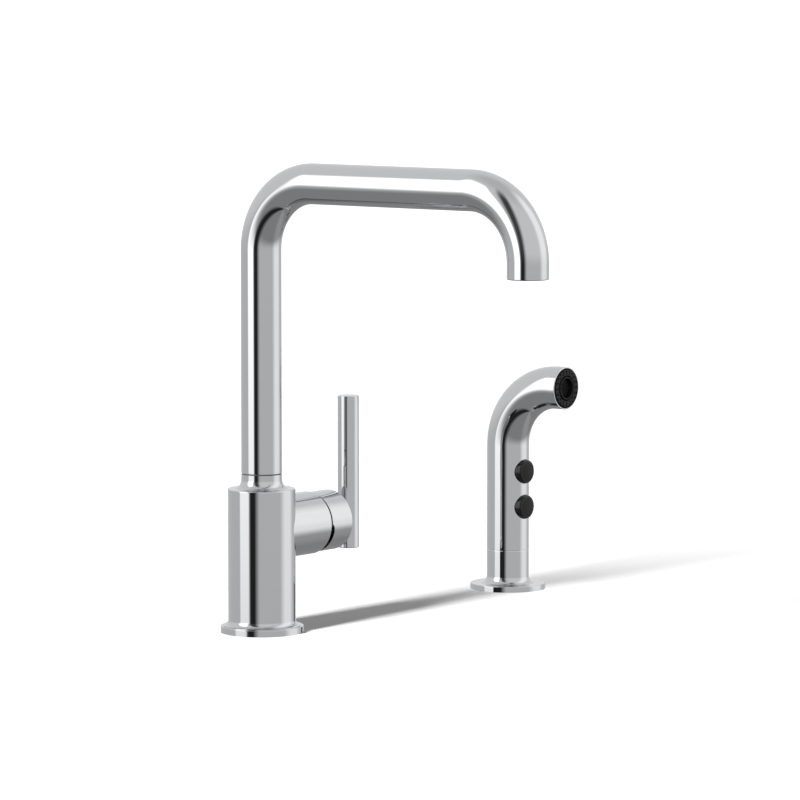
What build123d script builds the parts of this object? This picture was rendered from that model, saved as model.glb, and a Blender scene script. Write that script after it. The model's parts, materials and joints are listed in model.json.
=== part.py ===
"""Side spray kitchen faucet: a deck faucet with a squared swivel spout and a side
lever, and beside it a pull-up spray on its own holder.

Millimetres, +Z up. The origin is on the deck, on the axis of the faucet body.
The spout points along -Y, and the lever and the spray stand along +X.
"""
import os
from math import asin, cos, degrees, pi, radians, sin, tan

from build123d import *

# ---- Spout ---------------------------------------------------------------
SPOUT_TOP = 313.0              # deck to the top of the spout
SPOUT_DIAMETER = 27.0
SPOUT_WALL = 1.4
SPOUT_REACH = 220.0            # body axis to outlet axis
SPOUT_BEND = 45.0              # centre-line radius of both bends
OUTLET_DROP = 10.0             # straight length below the second bend
SEAM_GAP = 0.6                 # neck to spout tube, filled by the glide ring

# ---- Body ----------------------------------------------------------------
BODY_DIAMETER = 45.0
BODY_HEIGHT = 96.0             # deck to the flat top of the body
NECK_LENGTH = 9.6              # flat top to the top of the neck
NECK_COVE = 6.0
FOOT_COVE = 3.5
FOOT_LAND = 0.5                # upright edge under the foot cove
EDGE_ROUND = 0.8
FLANGE_DIAMETER = 55.2
FLANGE_HEIGHT = 4.4
HUB_BELOW_TOP = 27.6           # flat top to the lever's turning axis
HUB_DIAMETER = 42.2
HUB_REACH = 48.4               # body axis to the rim of the hub
HUB_WALL = 2.5

# ---- Waterways in the body -------------------------------------------------
CHANNEL_RADIUS = 3.8
SEAT_HOLE_RADIUS = 3.2         # holes between body, base and disc
PORT_RADIUS = 5.0              # tapped ports for the supply hoses
PORT_DEPTH = 12.0
PORT_SPREAD = 7.0              # hot and cold ports each side of the middle
PORT_FORWARD = 4.0
SPRAY_PORT_BACK = 8.0
SPRAY_LINE_BACK = 7.0          # drilled line above that port
SEAT_X = 14.0                  # face that the cartridge stands on
INLET_DROP = 5.5               # inlet holes below the lever axis
OUTLET_RISE = 7.0              # mixed water hole above the lever axis

# ---- Spout bearing ---------------------------------------------------------
RUNNING_GAP = 0.05             # radial clearance of running fits
AXIAL_GAP = 0.2                # end clearance of pieces that turn or slide
SPIGOT_CLEARANCE = 2.4         # top of the diverter's chamber to the spigot
SPIGOT_RADIUS = 11.0
SPIGOT_BORE = 7.8
PLUG_LENGTH = 16.0             # spigot's grip inside the spout tube
ORING_SECTION = 1.7
ORING_GROOVE = 2.1             # width of its groove
GLIDE_INSET = 0.4              # glide ring behind the neck's surface
CLIP_THICKNESS = 1.2
CLIP_DEPTH = 1.2               # clip's bite into the neck's groove
CLIP_BITE = 1.0                # and into the spigot's groove
CLIP_GAP = 0.4                 # above and below the clip in the spigot's groove
CLIP_HEIGHT = 1.6              # spigot's lower end to the clip

# ---- Diverter ----------------------------------------------------------------
DIVERTER_RADIUS = 8.1
DIVERTER_HEIGHT = 10.8
DIVERTER_WALL = 1.5
DIVERTER_TRAVEL = 2.5
DIVERTER_STEM = 1.5
DIVERTER_STEM_PROUD = 0.7      # stem above the cage
DIVERTER_DISC = 2.0
DIVERTER_FLOW_GAP = 1.2        # round the valve disc
DIVERTER_SEAT_LAND = 2.4       # width of the seat that the disc closes on
DIVERTER_WINDOW = 2.3
DIVERTER_WINDOW_RISE = 4.7     # cage's lower face to the middle of its windows
DIVERTER_WINDOWS = 4

# ---- Cartridge ---------------------------------------------------------------
CARTRIDGE_RADIUS = 17.5
CARTRIDGE_LENGTH = 23.0
CARTRIDGE_WALL = 2.9
CARTRIDGE_BASE = 3.5
DISC_RADIUS = 14.0
DISC_THICKNESS = 3.5
MOVING_DISC_RADIUS = 11.8
MIXING_DEPTH = 1.8             # blind channel in the moving disc
MIXING_RADIUS = 4.6
MIXING_ARM = 3.0
SEAL_WIDTH = 1.4
SEAL_THICKNESS = 1.2
DISC_HOLDER_THICKNESS = 4.0
CARRIER_THICKNESS = 5.8
CARRIER_BOSS = 12.1
CARRIER_STEP = 1.0             # boss proud of the housing
PIVOT_X = 32.0                 # lever's tilting pin
PIVOT_PIN_RADIUS = 1.5
STEM_WIDTH = 6.0
STEM_HEIGHT = 7.0
STEM_END_X = 60.0
SWING_CLEARANCE = 0.6          # round the lever at full tilt
STEM_EYE_WALL = 0.9            # behind the pin
BALL_NECK = 0.7                # ball proud of its neck
STEM_BALL = 2.5
BALL_GAP = 0.2                 # ball to the disc behind it
NUT_LENGTH = 7.0               # bonnet nut
NUT_BORE = 13.4
NUT_SLOT_WIDTH = 3.0
NUT_SLOT_DEPTH = 2.0
NUT_SLOTS = 8
STOP_THICKNESS = 2.2           # temperature stop
STOP_TAB = 4.0

# ---- Lever -------------------------------------------------------------------
LEVER_TILT = 10.0              # degrees from shut to full flow
CAP_DIAMETER = 40.6
CAP_GAP = 0.8                  # hub rim to cap rim
CAP_LENGTH = 22.0
CAP_WALL = 2.4
CAP_END = 5.2                  # thickness of the cap's end
RIM_CLEARANCE = 0.3            # hub rim to cap rim at full tilt
BOSS_RADIUS = 8.4
BOSS_SET_BACK = 1.3            # boss behind the cap's rim
STICK_DIAMETER = 14.4
STICK_X = 91.4
STICK_TOP = 151.0
STICK_BELOW_AXIS = 21.0
STICK_ROUND = 0.5
NECK_RADIUS = 5.0              # spacer between cap and stick
SCREW_RADIUS = 2.5
SCREW_HEAD = 4.4
SCREW_HEAD_LENGTH = 3.4
SCREW_HEAD_ROOM = 0.5          # round and behind the head
SCREW_KEY = 2.3                # hexagon's corner radius
SCREW_KEY_DEPTH = 2.2
SCREW_PAST_AXIS = 3.5          # screw's end past the stick's axis
GRUB_RADIUS = 2.0
GRUB_KEY = 1.1
GRUB_KEY_DEPTH = 1.8
GRUB_HOLE = 2.6                # key's way in through the cap's wall
GRUB_EDGE = 1.6                # grub screw to the set-back rim

# ---- Spray -------------------------------------------------------------------
SPRAY_OFFSET = 271.4           # body axis to spray axis
SPRAY_DIAMETER = 29.8
SPRAY_WALL = 2.0
SPRAY_CENTRE_HEIGHT = 145.3    # deck to the nozzle's axis
NOZZLE_REACH = 51.3            # spray axis to the nozzle's face
NOZZLE_STRAIGHT = 8.4          # from the bend to the nozzle's face
HOLDER_HEIGHT = 28.0           # deck to the seam under the spray
HOLDER_FLANGE_DIAMETER = 53.4
HOLDER_FLANGE_HEIGHT = 4.0
HOLDER_COVE = 5.0
HOLDER_SEAM = 0.3
BUSH_RADIUS = 11.95
BUSH_WALL = 1.35
BUSH_LIP = 1.0
BUSH_LIP_HEIGHT = 1.6
TAIL_BELOW_DECK = 6.0
TAIL_BORE = 4.0
HOSE_SOCKET_RADIUS = 6.5
HOSE_SOCKET_DEPTH = 12.0
TAIL_PLUG = 6.0                # tail's grip inside the shell
BLOCK_BELOW_BEND = 3.4         # valve block's top to the start of the bend
BLOCK_CLEARANCE = 0.2
BLOCK_BACK_WALL = 3.0          # behind the block's water hole

# ---- Buttons -----------------------------------------------------------------
BUTTON_DIAMETER = 16.6
BUTTON_FACE_OFFSET = 17.8      # spray axis to the middle of a button's face
BUTTON_SKIRT = 6.4
BUTTON_BEVEL = 1.1
BUTTON_DOME = 0.5
BUTTON_DROP = 61.2             # nozzle's axis to the upper button's axis
BUTTON_SPACING = 25.1
BUTTON_TRAVEL = 2.2
BUTTON_GAP = 0.35              # round each button
BUTTON_STEM = 3.6
BUTTON_STEM_ENTRY = 0.4        # stem's end in its guide, button out
BUTTON_FLOOR_GAP = 0.4         # behind the skirt and the stem, button in
SPRING_WIRE = 0.8
SPRING_RADIUS = 5.3
SPRING_TURNS = 4
SPRING_LENGTH = 6.6

# ---- Nozzle ------------------------------------------------------------------
FACE_DIAMETER = 28.8
FACE_THICKNESS = 2.2
FACE_SPIGOT = 6.0
STREAM_DIAMETER = 17.8         # raised ring round the stream outlet
STREAM_WALL = 1.3
STREAM_PROUD = 0.5
STREAM_ROUND = 0.35
STREAM_CELL = 1.0
STREAM_CELL_PITCH = 2.7
STREAM_RECESS = 2.6
JET_RADIUS = 0.55
JET_CIRCLES = (10.4, 12.4)     # radii of both rows of jets
JET_PITCH = 3.88               # along each row
JET_DEPTH = 1.2
WATERWAY_RADIUS = 6.5
WATERWAY_WALL = 1.2
WATERWAY_SIDES = 12

# ---- Aerator in the spout ----------------------------------------------------
AERATOR_HEIGHT = 7.5
AERATOR_RECESS = 0.8
AERATOR_WALL = 1.9
AERATOR_CELL = 1.25
AERATOR_CELL_PITCH = 3.6
INSERT_RECESS = 0.6            # insert behind the housing's face
AERATOR_WASHER_WIDTH = 3.0
AERATOR_WASHER_THICKNESS = 1.3

# ---- Below the deck ----------------------------------------------------------
DECK_THICKNESS = 20.0
SHANK_RADIUS = 16.4
SHANK_WALL = 2.2
SHANK_BELOW_DECK = 56.0
SHANK_GRIP = 17.5              # shank's thread inside the body
SHANK_END_GAP = 0.5            # above the shank's end
HOLDER_SHANK_RADIUS = 13.1
HOLDER_SHANK_WALL = 2.2
HOLDER_SHANK_BELOW_DECK = 46.0
HOLDER_SHANK_GRIP = 8.0
RUBBER_THICKNESS = 3.0
WASHER_THICKNESS = 2.0
WASHER_WIDTH = 8.5             # ring width of the clamping washers
NUT_HEIGHT = 9.0
NUT_FLATS_OVER_BORE = 13.0
THREAD_GAP = 0.1
GASKET_THICKNESS = 1.5
GASKET_WIDTH = 4.5
GASKET_INSET = 2.5             # flange's edge to the gasket
SHANK_CHAMFER = 0.8

# ---- For every piece -----------------------------------------------------------
PAST = 1.0                     # how far a cut runs past the face it opens

# ---- Worked out from the sizes above -------------------------------------------
spout_radius = SPOUT_DIAMETER / 2
spout_bore = spout_radius - SPOUT_WALL
body_radius = BODY_DIAMETER / 2
hub_height = BODY_HEIGHT - HUB_BELOW_TOP
neck_top = BODY_HEIGHT + NECK_LENGTH
spout_start = neck_top + SEAM_GAP
spout_centre = SPOUT_TOP - spout_radius
outlet_height = spout_centre - SPOUT_BEND - OUTLET_DROP
neck_bore = SPIGOT_RADIUS + RUNNING_GAP
seat_inlet_z = hub_height - INLET_DROP
seat_outlet_z = hub_height + OUTLET_RISE
chamber_bottom = seat_outlet_z - DIVERTER_WINDOW_RISE
chamber_top = chamber_bottom + DIVERTER_HEIGHT + AXIAL_GAP
spigot_bottom = chamber_top + SPIGOT_CLEARANCE
clip_bottom = spigot_bottom + CLIP_HEIGHT
hub_radius = HUB_DIAMETER / 2
hub_bore = hub_radius - HUB_WALL
cartridge_top = SEAT_X + CARTRIDGE_LENGTH
cartridge_bore = CARTRIDGE_RADIUS - CARTRIDGE_WALL
disc_start = SEAT_X + CARTRIDGE_BASE
moving_start = disc_start + DISC_THICKNESS
holder_start = moving_start + DISC_THICKNESS
stem_ball_x = holder_start + STEM_BALL + BALL_GAP
carrier_start = holder_start + DISC_HOLDER_THICKNESS + AXIAL_GAP
carrier_end = carrier_start + CARRIER_THICKNESS
cap_start = HUB_REACH + CAP_GAP
cap_end = cap_start + CAP_LENGTH
cap_radius = CAP_DIAMETER / 2
tilt = radians(LEVER_TILT)
rim_swing = cap_radius * sin(tilt) + (cap_start - PIVOT_X) * (1 - cos(tilt))
rim_cut = rim_swing + RIM_CLEARANCE - CAP_GAP
boss_start = cap_start + BOSS_SET_BACK
stick_radius = STICK_DIAMETER / 2
stick_bottom = hub_height - STICK_BELOW_AXIS
shank_top = FLANGE_HEIGHT + SHANK_GRIP
port_mouth = shank_top + SHANK_END_GAP
port_top = port_mouth + PORT_DEPTH
spray_radius = SPRAY_DIAMETER / 2
spray_bore = spray_radius - SPRAY_WALL
spray_start = HOLDER_HEIGHT + HOLDER_SEAM
spray_bend = NOZZLE_REACH - NOZZLE_STRAIGHT
block_radius = spray_bore - BLOCK_CLEARANCE
bush_top = HOLDER_HEIGHT - HOLDER_SEAM
bush_bore = BUSH_RADIUS - BUSH_WALL
bush_bottom = HOLDER_SHANK_GRIP + AXIAL_GAP
tail_radius = bush_bore - RUNNING_GAP
tail_top = spray_start + TAIL_PLUG
block_top = SPRAY_CENTRE_HEIGHT - spray_bend - BLOCK_BELOW_BEND
upper_button_height = SPRAY_CENTRE_HEIGHT - BUTTON_DROP
button_heights = (upper_button_height, upper_button_height - BUTTON_SPACING)
button_radius = BUTTON_DIAMETER / 2
button_back = BUTTON_FACE_OFFSET - BUTTON_SKIRT
face_radius = FACE_DIAMETER / 2
face_back = NOZZLE_REACH - FACE_THICKNESS
stream_radius = STREAM_DIAMETER / 2
stream_bore = stream_radius - STREAM_WALL
spray_x = SPRAY_OFFSET

LOW = (Align.CENTER, Align.CENTER, Align.MIN)


# ---- Turned forms ------------------------------------------------------------
def rod_z(radius, bottom, top, x=0.0, y=0.0):
    """Upright cylinder between two heights."""
    return Pos(x, y, bottom) * Cylinder(radius, top - bottom, align=LOW)


def rod_x(radius, start, end, y=0.0, z=hub_height):
    """Cylinder along X between two stations."""
    return Pos(start, y, z) * Rot(0, 90, 0) * Cylinder(radius, end - start, align=LOW)


def rod_y(radius, near, far, x=spray_x, z=0.0):
    """Cylinder along Y: near and far are distances in front of the axis."""
    return Pos(x, -near, z) * Rot(90, 0, 0) * Cylinder(radius, far - near, align=LOW)


def ring_z(outer, inner, bottom, top, x=0.0, y=0.0):
    """Upright ring or tube."""
    return rod_z(outer, bottom, top, x, y) - rod_z(inner, bottom - PAST, top + PAST, x, y)


def ring_x(outer, inner, start, end, z=hub_height):
    """Ring or tube along X."""
    return rod_x(outer, start, end, 0, z) - rod_x(inner, start - PAST, end + PAST, 0, z)


def ring_y(outer, inner, near, far, z):
    """Ring or tube along Y, in front of the spray's axis."""
    return rod_y(outer, near, far, spray_x, z) - rod_y(inner, near - PAST, far + PAST, spray_x, z)


def turned(outline):
    """Solid turned about Z from a closed outline in radius and height."""
    return revolve(Plane.XZ * make_face(outline), Axis.Z)


def cove(radius, height, size):
    """Hollow quarter round that stands on a flat at (radius, height)."""
    return CenterArc((radius + size, height + size), size, 270, -90)


def o_ring(outer, height):
    """Seal ring whose outside lies on a bore, its round section drawn with eight sides."""
    section = RegularPolygon(ORING_SECTION / 2, 8)
    return revolve(Plane.XZ * Pos(outer - ORING_SECTION / 2, height) * section, Axis.Z)


def hex_nut(flats, bore, bottom, top, x=0.0):
    """Nut with chamfered corners and a plain bore."""
    prism = extrude(Plane.XY.offset(bottom) * RegularPolygon(flats / 2, 6, major_radius=False), top - bottom)
    corner = flats / 2 / cos(radians(30))
    blank = chamfer(rod_z(corner, bottom, top).edges(), corner - flats / 2)
    return Pos(x, 0, 0) * (prism & blank) - rod_z(bore, bottom - PAST, top + PAST, x)


# ---- Faucet body -------------------------------------------------------------
def channels():
    """Waterways: two inlets, the mixed water outlet and the line to the spray."""
    cut = []
    for side in (-1, 1):
        y = side * PORT_SPREAD
        cut.append(rod_z(PORT_RADIUS, shank_top, port_top, PORT_FORWARD, y))
        cut.append(rod_z(CHANNEL_RADIUS, port_top - PAST, seat_inlet_z + CHANNEL_RADIUS, PORT_FORWARD, y))
        cut.append(rod_x(CHANNEL_RADIUS, PORT_FORWARD, SEAT_X + PAST, y, seat_inlet_z))
    cut.append(rod_x(CHANNEL_RADIUS, 0, SEAT_X + PAST, 0, seat_outlet_z))
    cut.append(rod_z(PORT_RADIUS, shank_top, port_top, -SPRAY_PORT_BACK))
    cut.append(rod_z(SEAT_HOLE_RADIUS, port_top - PAST, chamber_bottom + PAST, -SPRAY_LINE_BACK))
    return cut


def faucet_body():
    """Turned body with the neck above, the lever's hub at the side and a foot below."""
    foot_radius = body_radius + FOOT_COVE
    foot_top = FLANGE_HEIGHT + FOOT_LAND
    outline = [
        Line((0, FLANGE_HEIGHT), (foot_radius, FLANGE_HEIGHT)),
        Line((foot_radius, FLANGE_HEIGHT), (foot_radius, foot_top)),
        cove(body_radius, foot_top, FOOT_COVE),
        Line((body_radius, foot_top + FOOT_COVE), (body_radius, BODY_HEIGHT - EDGE_ROUND)),
        CenterArc((body_radius - EDGE_ROUND, BODY_HEIGHT - EDGE_ROUND), EDGE_ROUND, 0, 90),
        Line((body_radius - EDGE_ROUND, BODY_HEIGHT), (spout_radius + NECK_COVE, BODY_HEIGHT)),
        cove(spout_radius, BODY_HEIGHT, NECK_COVE),
        Line((spout_radius, BODY_HEIGHT + NECK_COVE), (spout_radius, neck_top)),
        Line((spout_radius, neck_top), (0, neck_top)),
        Line((0, neck_top), (0, FLANGE_HEIGHT)),
    ]
    hub = rod_x(hub_radius, 0, HUB_REACH)
    hub = chamfer(hub.edges().group_by(Axis.X)[-1], EDGE_ROUND / 2)
    body = turned(outline) + hub
    cuts = [
        rod_z(SHANK_RADIUS + THREAD_GAP, FLANGE_HEIGHT - PAST, port_mouth),
        rod_z(neck_bore, chamber_top, neck_top + PAST),
        rod_z(neck_bore + CLIP_DEPTH, clip_bottom - AXIAL_GAP, clip_bottom + CLIP_THICKNESS + AXIAL_GAP),
        rod_z(DIVERTER_RADIUS + THREAD_GAP, chamber_bottom, chamber_top + PAST),
        rod_x(CARTRIDGE_RADIUS + THREAD_GAP, SEAT_X, cartridge_top + PAST),
        rod_x(hub_bore, cartridge_top, HUB_REACH + PAST),
    ]
    return body - cuts - channels()


def base_flange():
    """Deck flange with a groove for its gasket."""
    radius = FLANGE_DIAMETER / 2
    disc = rod_z(radius, 0, FLANGE_HEIGHT)
    disc = fillet(disc.edges().group_by(Axis.Z)[-1], EDGE_ROUND / 2)
    disc -= rod_z(SHANK_RADIUS + THREAD_GAP, -PAST, FLANGE_HEIGHT + PAST)
    return disc - gasket_ring(radius, GASKET_THICKNESS + THREAD_GAP)


def gasket_ring(flange_radius, height, x=0.0):
    """Ring that lies in the groove under a flange."""
    outer = flange_radius - GASKET_INSET
    return ring_z(outer, outer - GASKET_WIDTH, 0, height, x)


def mounting_shank():
    """Threaded tube through the deck, with a lead-in at its lower end."""
    tube = rod_z(SHANK_RADIUS, -SHANK_BELOW_DECK, shank_top)
    tube = chamfer(tube.edges(), SHANK_CHAMFER)
    return tube - rod_z(SHANK_RADIUS - SHANK_WALL, -SHANK_BELOW_DECK - PAST, shank_top + PAST)


def clamp_stack(shank_radius, x=0.0):
    """Rubber washer, steel washer and nut that hold a shank to the deck."""
    bore = shank_radius + THREAD_GAP
    outer = bore + WASHER_WIDTH
    rubber_bottom = -DECK_THICKNESS - RUBBER_THICKNESS
    washer_bottom = rubber_bottom - WASHER_THICKNESS
    flats = 2 * bore + NUT_FLATS_OVER_BORE
    rubber = ring_z(outer, bore, rubber_bottom, -DECK_THICKNESS, x)
    washer = ring_z(outer, bore, washer_bottom, rubber_bottom, x)
    nut = hex_nut(flats, bore, washer_bottom - NUT_HEIGHT, washer_bottom, x)
    return rubber, washer, nut


# ---- Spout -------------------------------------------------------------------
def spout_path():
    """Centre line: up, over a bend, forward, and down to the outlet."""
    corner_a = (0, 0, spout_centre)
    corner_b = (0, -SPOUT_REACH, spout_centre)
    ends = (0, 0, spout_start), (0, -SPOUT_REACH, outlet_height)
    return FilletPolyline(ends[0], corner_a, corner_b, ends[1], radius=SPOUT_BEND)


def spout_tube():
    """Round tube bent twice, open at both ends."""
    path = spout_path()
    outer = sweep(Plane(origin=path @ 0, z_dir=path % 0) * Circle(spout_radius), path)
    inner = sweep(Plane(origin=path @ 0, z_dir=path % 0) * Circle(spout_bore), path)
    return outer - inner


def spout_spigot():
    """Brass spigot fixed in the tube, which turns in the neck of the body."""
    plug = rod_z(spout_bore - RUNNING_GAP, spout_start, spout_start + PLUG_LENGTH)
    shaft = rod_z(SPIGOT_RADIUS, spigot_bottom, spout_start)
    groove_floor = SPIGOT_RADIUS - ORING_SECTION
    spigot = plug + shaft
    for height in oring_heights():
        low, high = height - ORING_GROOVE / 2, height + ORING_GROOVE / 2
        spigot -= ring_z(SPIGOT_RADIUS + PAST, groove_floor, low, high)
    clip_low, clip_high = clip_bottom - CLIP_GAP, clip_bottom + CLIP_THICKNESS + CLIP_GAP
    spigot -= ring_z(SPIGOT_RADIUS + PAST, SPIGOT_RADIUS - CLIP_BITE - CLIP_GAP, clip_low, clip_high)
    return spigot - rod_z(SPIGOT_BORE, spigot_bottom - PAST, spout_start + PLUG_LENGTH + PAST)


def oring_heights():
    """Two seals, shared evenly between the clip and the top of the neck."""
    low = clip_bottom + CLIP_THICKNESS
    step = (neck_top - low) / 3
    return low + step, low + 2 * step


def spout_o_rings():
    """Both seals of the spigot."""
    return Compound(children=[o_ring(SPIGOT_RADIUS, height) for height in oring_heights()])


def spout_glide_ring():
    """Plastic ring that the spout turns on, seen as the dark line at the neck."""
    gap = RUNNING_GAP
    return ring_z(spout_radius - GLIDE_INSET, SPIGOT_RADIUS + THREAD_GAP, neck_top + gap, spout_start)


def spout_retaining_clip():
    """Open ring that keeps the spigot in the neck."""
    outer = neck_bore + CLIP_DEPTH - RUNNING_GAP
    inner = SPIGOT_RADIUS - CLIP_BITE
    clip = ring_z(outer, inner, clip_bottom, clip_bottom + CLIP_THICKNESS)
    opening = Pos(-outer, 0, clip_bottom) * Box(2 * inner, inner, 2 * CLIP_THICKNESS)
    return clip - opening


# ---- Aerator -----------------------------------------------------------------
def honeycomb(radius, cell, pitch, depth):
    """Hexagonal cells on a triangular pitch, those that lie whole inside a radius."""
    reach = int(radius / pitch) + 1
    sketch = Sketch()
    for row in range(-reach, reach + 1):
        for column in range(-2 * reach, 2 * reach + 1):
            x = pitch * (column + row / 2)
            y = pitch * row * sin(radians(60))
            if (x * x + y * y) ** 0.5 + cell < radius:
                sketch += Pos(x, y) * RegularPolygon(cell, 6)
    return extrude(sketch, depth)


def aerator_housing():
    """Threaded ring inside the outlet that carries the insert."""
    outer = spout_bore - RUNNING_GAP
    bottom = outlet_height + AERATOR_RECESS
    top = bottom + AERATOR_HEIGHT
    ring = ring_z(outer, outer - AERATOR_WALL, bottom, top, 0, -SPOUT_REACH)
    return chamfer(ring.edges().group_by(Axis.Z)[0].sort_by(SortBy.RADIUS)[-1], EDGE_ROUND / 2)


def aerator_insert():
    """Honeycomb that straightens the stream."""
    radius = spout_bore - AERATOR_WALL - 2 * RUNNING_GAP
    bottom = outlet_height + AERATOR_RECESS + INSERT_RECESS
    depth = AERATOR_HEIGHT - INSERT_RECESS
    disc = Cylinder(radius, depth, align=LOW) - honeycomb(radius, AERATOR_CELL, AERATOR_CELL_PITCH, depth)
    return Pos(0, -SPOUT_REACH, bottom) * disc


def aerator_washer():
    """Rubber washer above the aerator."""
    bottom = outlet_height + AERATOR_RECESS + AERATOR_HEIGHT
    outer = spout_bore - RUNNING_GAP
    inner = outer - AERATOR_WASHER_WIDTH
    return ring_z(outer, inner, bottom, bottom + AERATOR_WASHER_THICKNESS, 0, -SPOUT_REACH)


# ---- Diverter ----------------------------------------------------------------
def diverter_body():
    """Cage under the spout: a seat below, side windows and a guide above."""
    top = chamber_bottom + DIVERTER_HEIGHT
    inner = DIVERTER_RADIUS - DIVERTER_WALL
    cage = rod_z(DIVERTER_RADIUS, chamber_bottom, top)
    cage -= rod_z(inner, chamber_bottom + DIVERTER_WALL, top - DIVERTER_WALL)
    cage -= rod_z(inner - DIVERTER_SEAT_LAND, chamber_bottom - PAST, chamber_bottom + DIVERTER_WALL + PAST)
    cage -= rod_z(DIVERTER_STEM + RUNNING_GAP, top - DIVERTER_WALL - PAST, top + PAST)
    for turn in range(DIVERTER_WINDOWS):
        hole = rod_z(DIVERTER_STEM, top - DIVERTER_WALL - PAST, top + PAST, (inner + DIVERTER_STEM) / 2)
        window = rod_x(DIVERTER_WINDOW, 0, DIVERTER_RADIUS + PAST, 0, seat_outlet_z)
        cage -= Rot(0, 0, 360 / DIVERTER_WINDOWS * turn) * (hole + window)
    return cage


def diverter_plunger():
    """Valve disc and stem that lift when the spray opens, and a collar that stops them."""
    seat = chamber_bottom + DIVERTER_WALL
    top = chamber_bottom + DIVERTER_HEIGHT
    disc = rod_z(DIVERTER_RADIUS - DIVERTER_WALL - DIVERTER_FLOW_GAP, seat, seat + DIVERTER_DISC)
    stop = top - DIVERTER_WALL - DIVERTER_TRAVEL - THREAD_GAP
    collar = rod_z(2 * DIVERTER_STEM, seat, stop)
    return disc + collar + rod_z(DIVERTER_STEM, seat, top + DIVERTER_STEM_PROUD)


# ---- Cartridge ---------------------------------------------------------------
def port_holes(start, end):
    """The three water holes that cross the seat, along X."""
    radius = SEAT_HOLE_RADIUS
    holes = [rod_x(radius, start, end, side * PORT_SPREAD, seat_inlet_z) for side in (-1, 1)]
    holes.append(rod_x(radius, start, end, 0, seat_outlet_z))
    return holes


def cartridge_base():
    """Plastic base with the water holes and a groove round each for its seal."""
    base = rod_x(CARTRIDGE_RADIUS, SEAT_X, disc_start) - port_holes(SEAT_X - PAST, disc_start + PAST)
    return base - [seal_ring(y, z, THREAD_GAP) for y, z in port_places()]


def port_places():
    """Centres of the water holes in Y and Z."""
    return (-PORT_SPREAD, seat_inlet_z), (PORT_SPREAD, seat_inlet_z), (0, seat_outlet_z)


def seal_ring(y, z, extra=0.0):
    """Flat seal round one water hole, let into the base."""
    outer = rod_x(SEAT_HOLE_RADIUS + SEAL_WIDTH + extra, SEAT_X, SEAT_X + SEAL_THICKNESS, y, z)
    return outer - rod_x(SEAT_HOLE_RADIUS, SEAT_X - PAST, SEAT_X + SEAL_THICKNESS + PAST, y, z)


def port_seals():
    """Seals of the three water holes."""
    return Compound(children=[seal_ring(y, z) for y, z in port_places()])


def cartridge_housing():
    """Plastic shell that holds the discs and the carrier."""
    shell = rod_x(CARTRIDGE_RADIUS, disc_start, cartridge_top)
    shell = chamfer(shell.edges().group_by(Axis.X)[-1], EDGE_ROUND)
    shell -= rod_x(cartridge_bore, disc_start - PAST, carrier_end + RUNNING_GAP)
    return shell - rod_x(CARRIER_BOSS + 2 * RUNNING_GAP, disc_start, cartridge_top + PAST)


def fixed_disc():
    """Ceramic disc with the three water holes."""
    return rod_x(DISC_RADIUS, disc_start, moving_start) - port_holes(disc_start - PAST, moving_start + PAST)


def moving_disc():
    """Ceramic disc with a blind channel that joins the holes under it."""
    disc = rod_x(MOVING_DISC_RADIUS, moving_start, holder_start)
    end = moving_start + MIXING_DEPTH
    channel = rod_x(MIXING_RADIUS, moving_start - PAST, end, 0, seat_outlet_z - MIXING_RADIUS)
    for y, z in port_places()[:2]:
        channel += rod_x(MIXING_ARM, moving_start - PAST, end, y / 2, z + MIXING_RADIUS)
    return disc - channel


def disc_holder():
    """Plastic slide that the lever's ball moves, with the disc under it."""
    slide = rod_x(MOVING_DISC_RADIUS, holder_start, holder_start + DISC_HOLDER_THICKNESS)
    return slide - rod_x(STEM_BALL + THREAD_GAP, holder_start - PAST, carrier_start + PAST)


def cartridge_carrier():
    """Turning piece that carries the lever's pin, with a slot for the lever."""
    disc = rod_x(cartridge_bore - RUNNING_GAP, carrier_start, carrier_end)
    boss = rod_x(CARRIER_BOSS, carrier_end, cartridge_top + CARRIER_STEP)
    length = cartridge_top + CARRIER_STEP - carrier_start
    swing = STEM_HEIGHT / 2 + (cartridge_top + CARRIER_STEP - PIVOT_X) * tan(tilt) + SWING_CLEARANCE
    slot = Box(length + 2 * PAST, STEM_WIDTH + 2 * AXIAL_GAP, 2 * swing)
    slot = Pos(carrier_start + length / 2, 0, hub_height) * slot
    pin_hole = Pos(PIVOT_X, 0, hub_height) * Rot(90, 0, 0) * Cylinder(PIVOT_PIN_RADIUS, 2 * cartridge_bore)
    return disc + boss - slot - pin_hole


def lever_pin():
    """Steel pin that the lever tilts on."""
    length = 2 * (cartridge_bore - PIVOT_PIN_RADIUS)
    return Pos(PIVOT_X, 0, hub_height) * Rot(90, 0, 0) * Cylinder(PIVOT_PIN_RADIUS, length)


def temperature_stop():
    """Ring on the carrier that limits how far it turns to hot."""
    start = cartridge_top + CARRIER_STEP
    end = start + STOP_THICKNESS
    ring = ring_x(CARRIER_BOSS, BOSS_RADIUS, start, end)
    tab = Box(STOP_THICKNESS, STOP_TAB, STOP_TAB)
    tab = Pos(start + STOP_THICKNESS / 2, 0, hub_height + CARRIER_BOSS) * tab
    return ring + (tab & rod_x(NUT_BORE - 2 * AXIAL_GAP, start, end))


def bonnet_nut():
    """Brass ring nut that clamps the cartridge, with key slots in its rim."""
    ring = ring_x(hub_bore - THREAD_GAP, NUT_BORE, cartridge_top, cartridge_top + NUT_LENGTH)
    for turn in range(NUT_SLOTS // 2):
        slot = Box(2 * NUT_SLOT_DEPTH, 2 * hub_bore, NUT_SLOT_WIDTH)
        place = Pos(cartridge_top + NUT_LENGTH, 0, hub_height) * Rot(360 / NUT_SLOTS * turn, 0, 0)
        ring -= place * slot
    return ring


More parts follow.
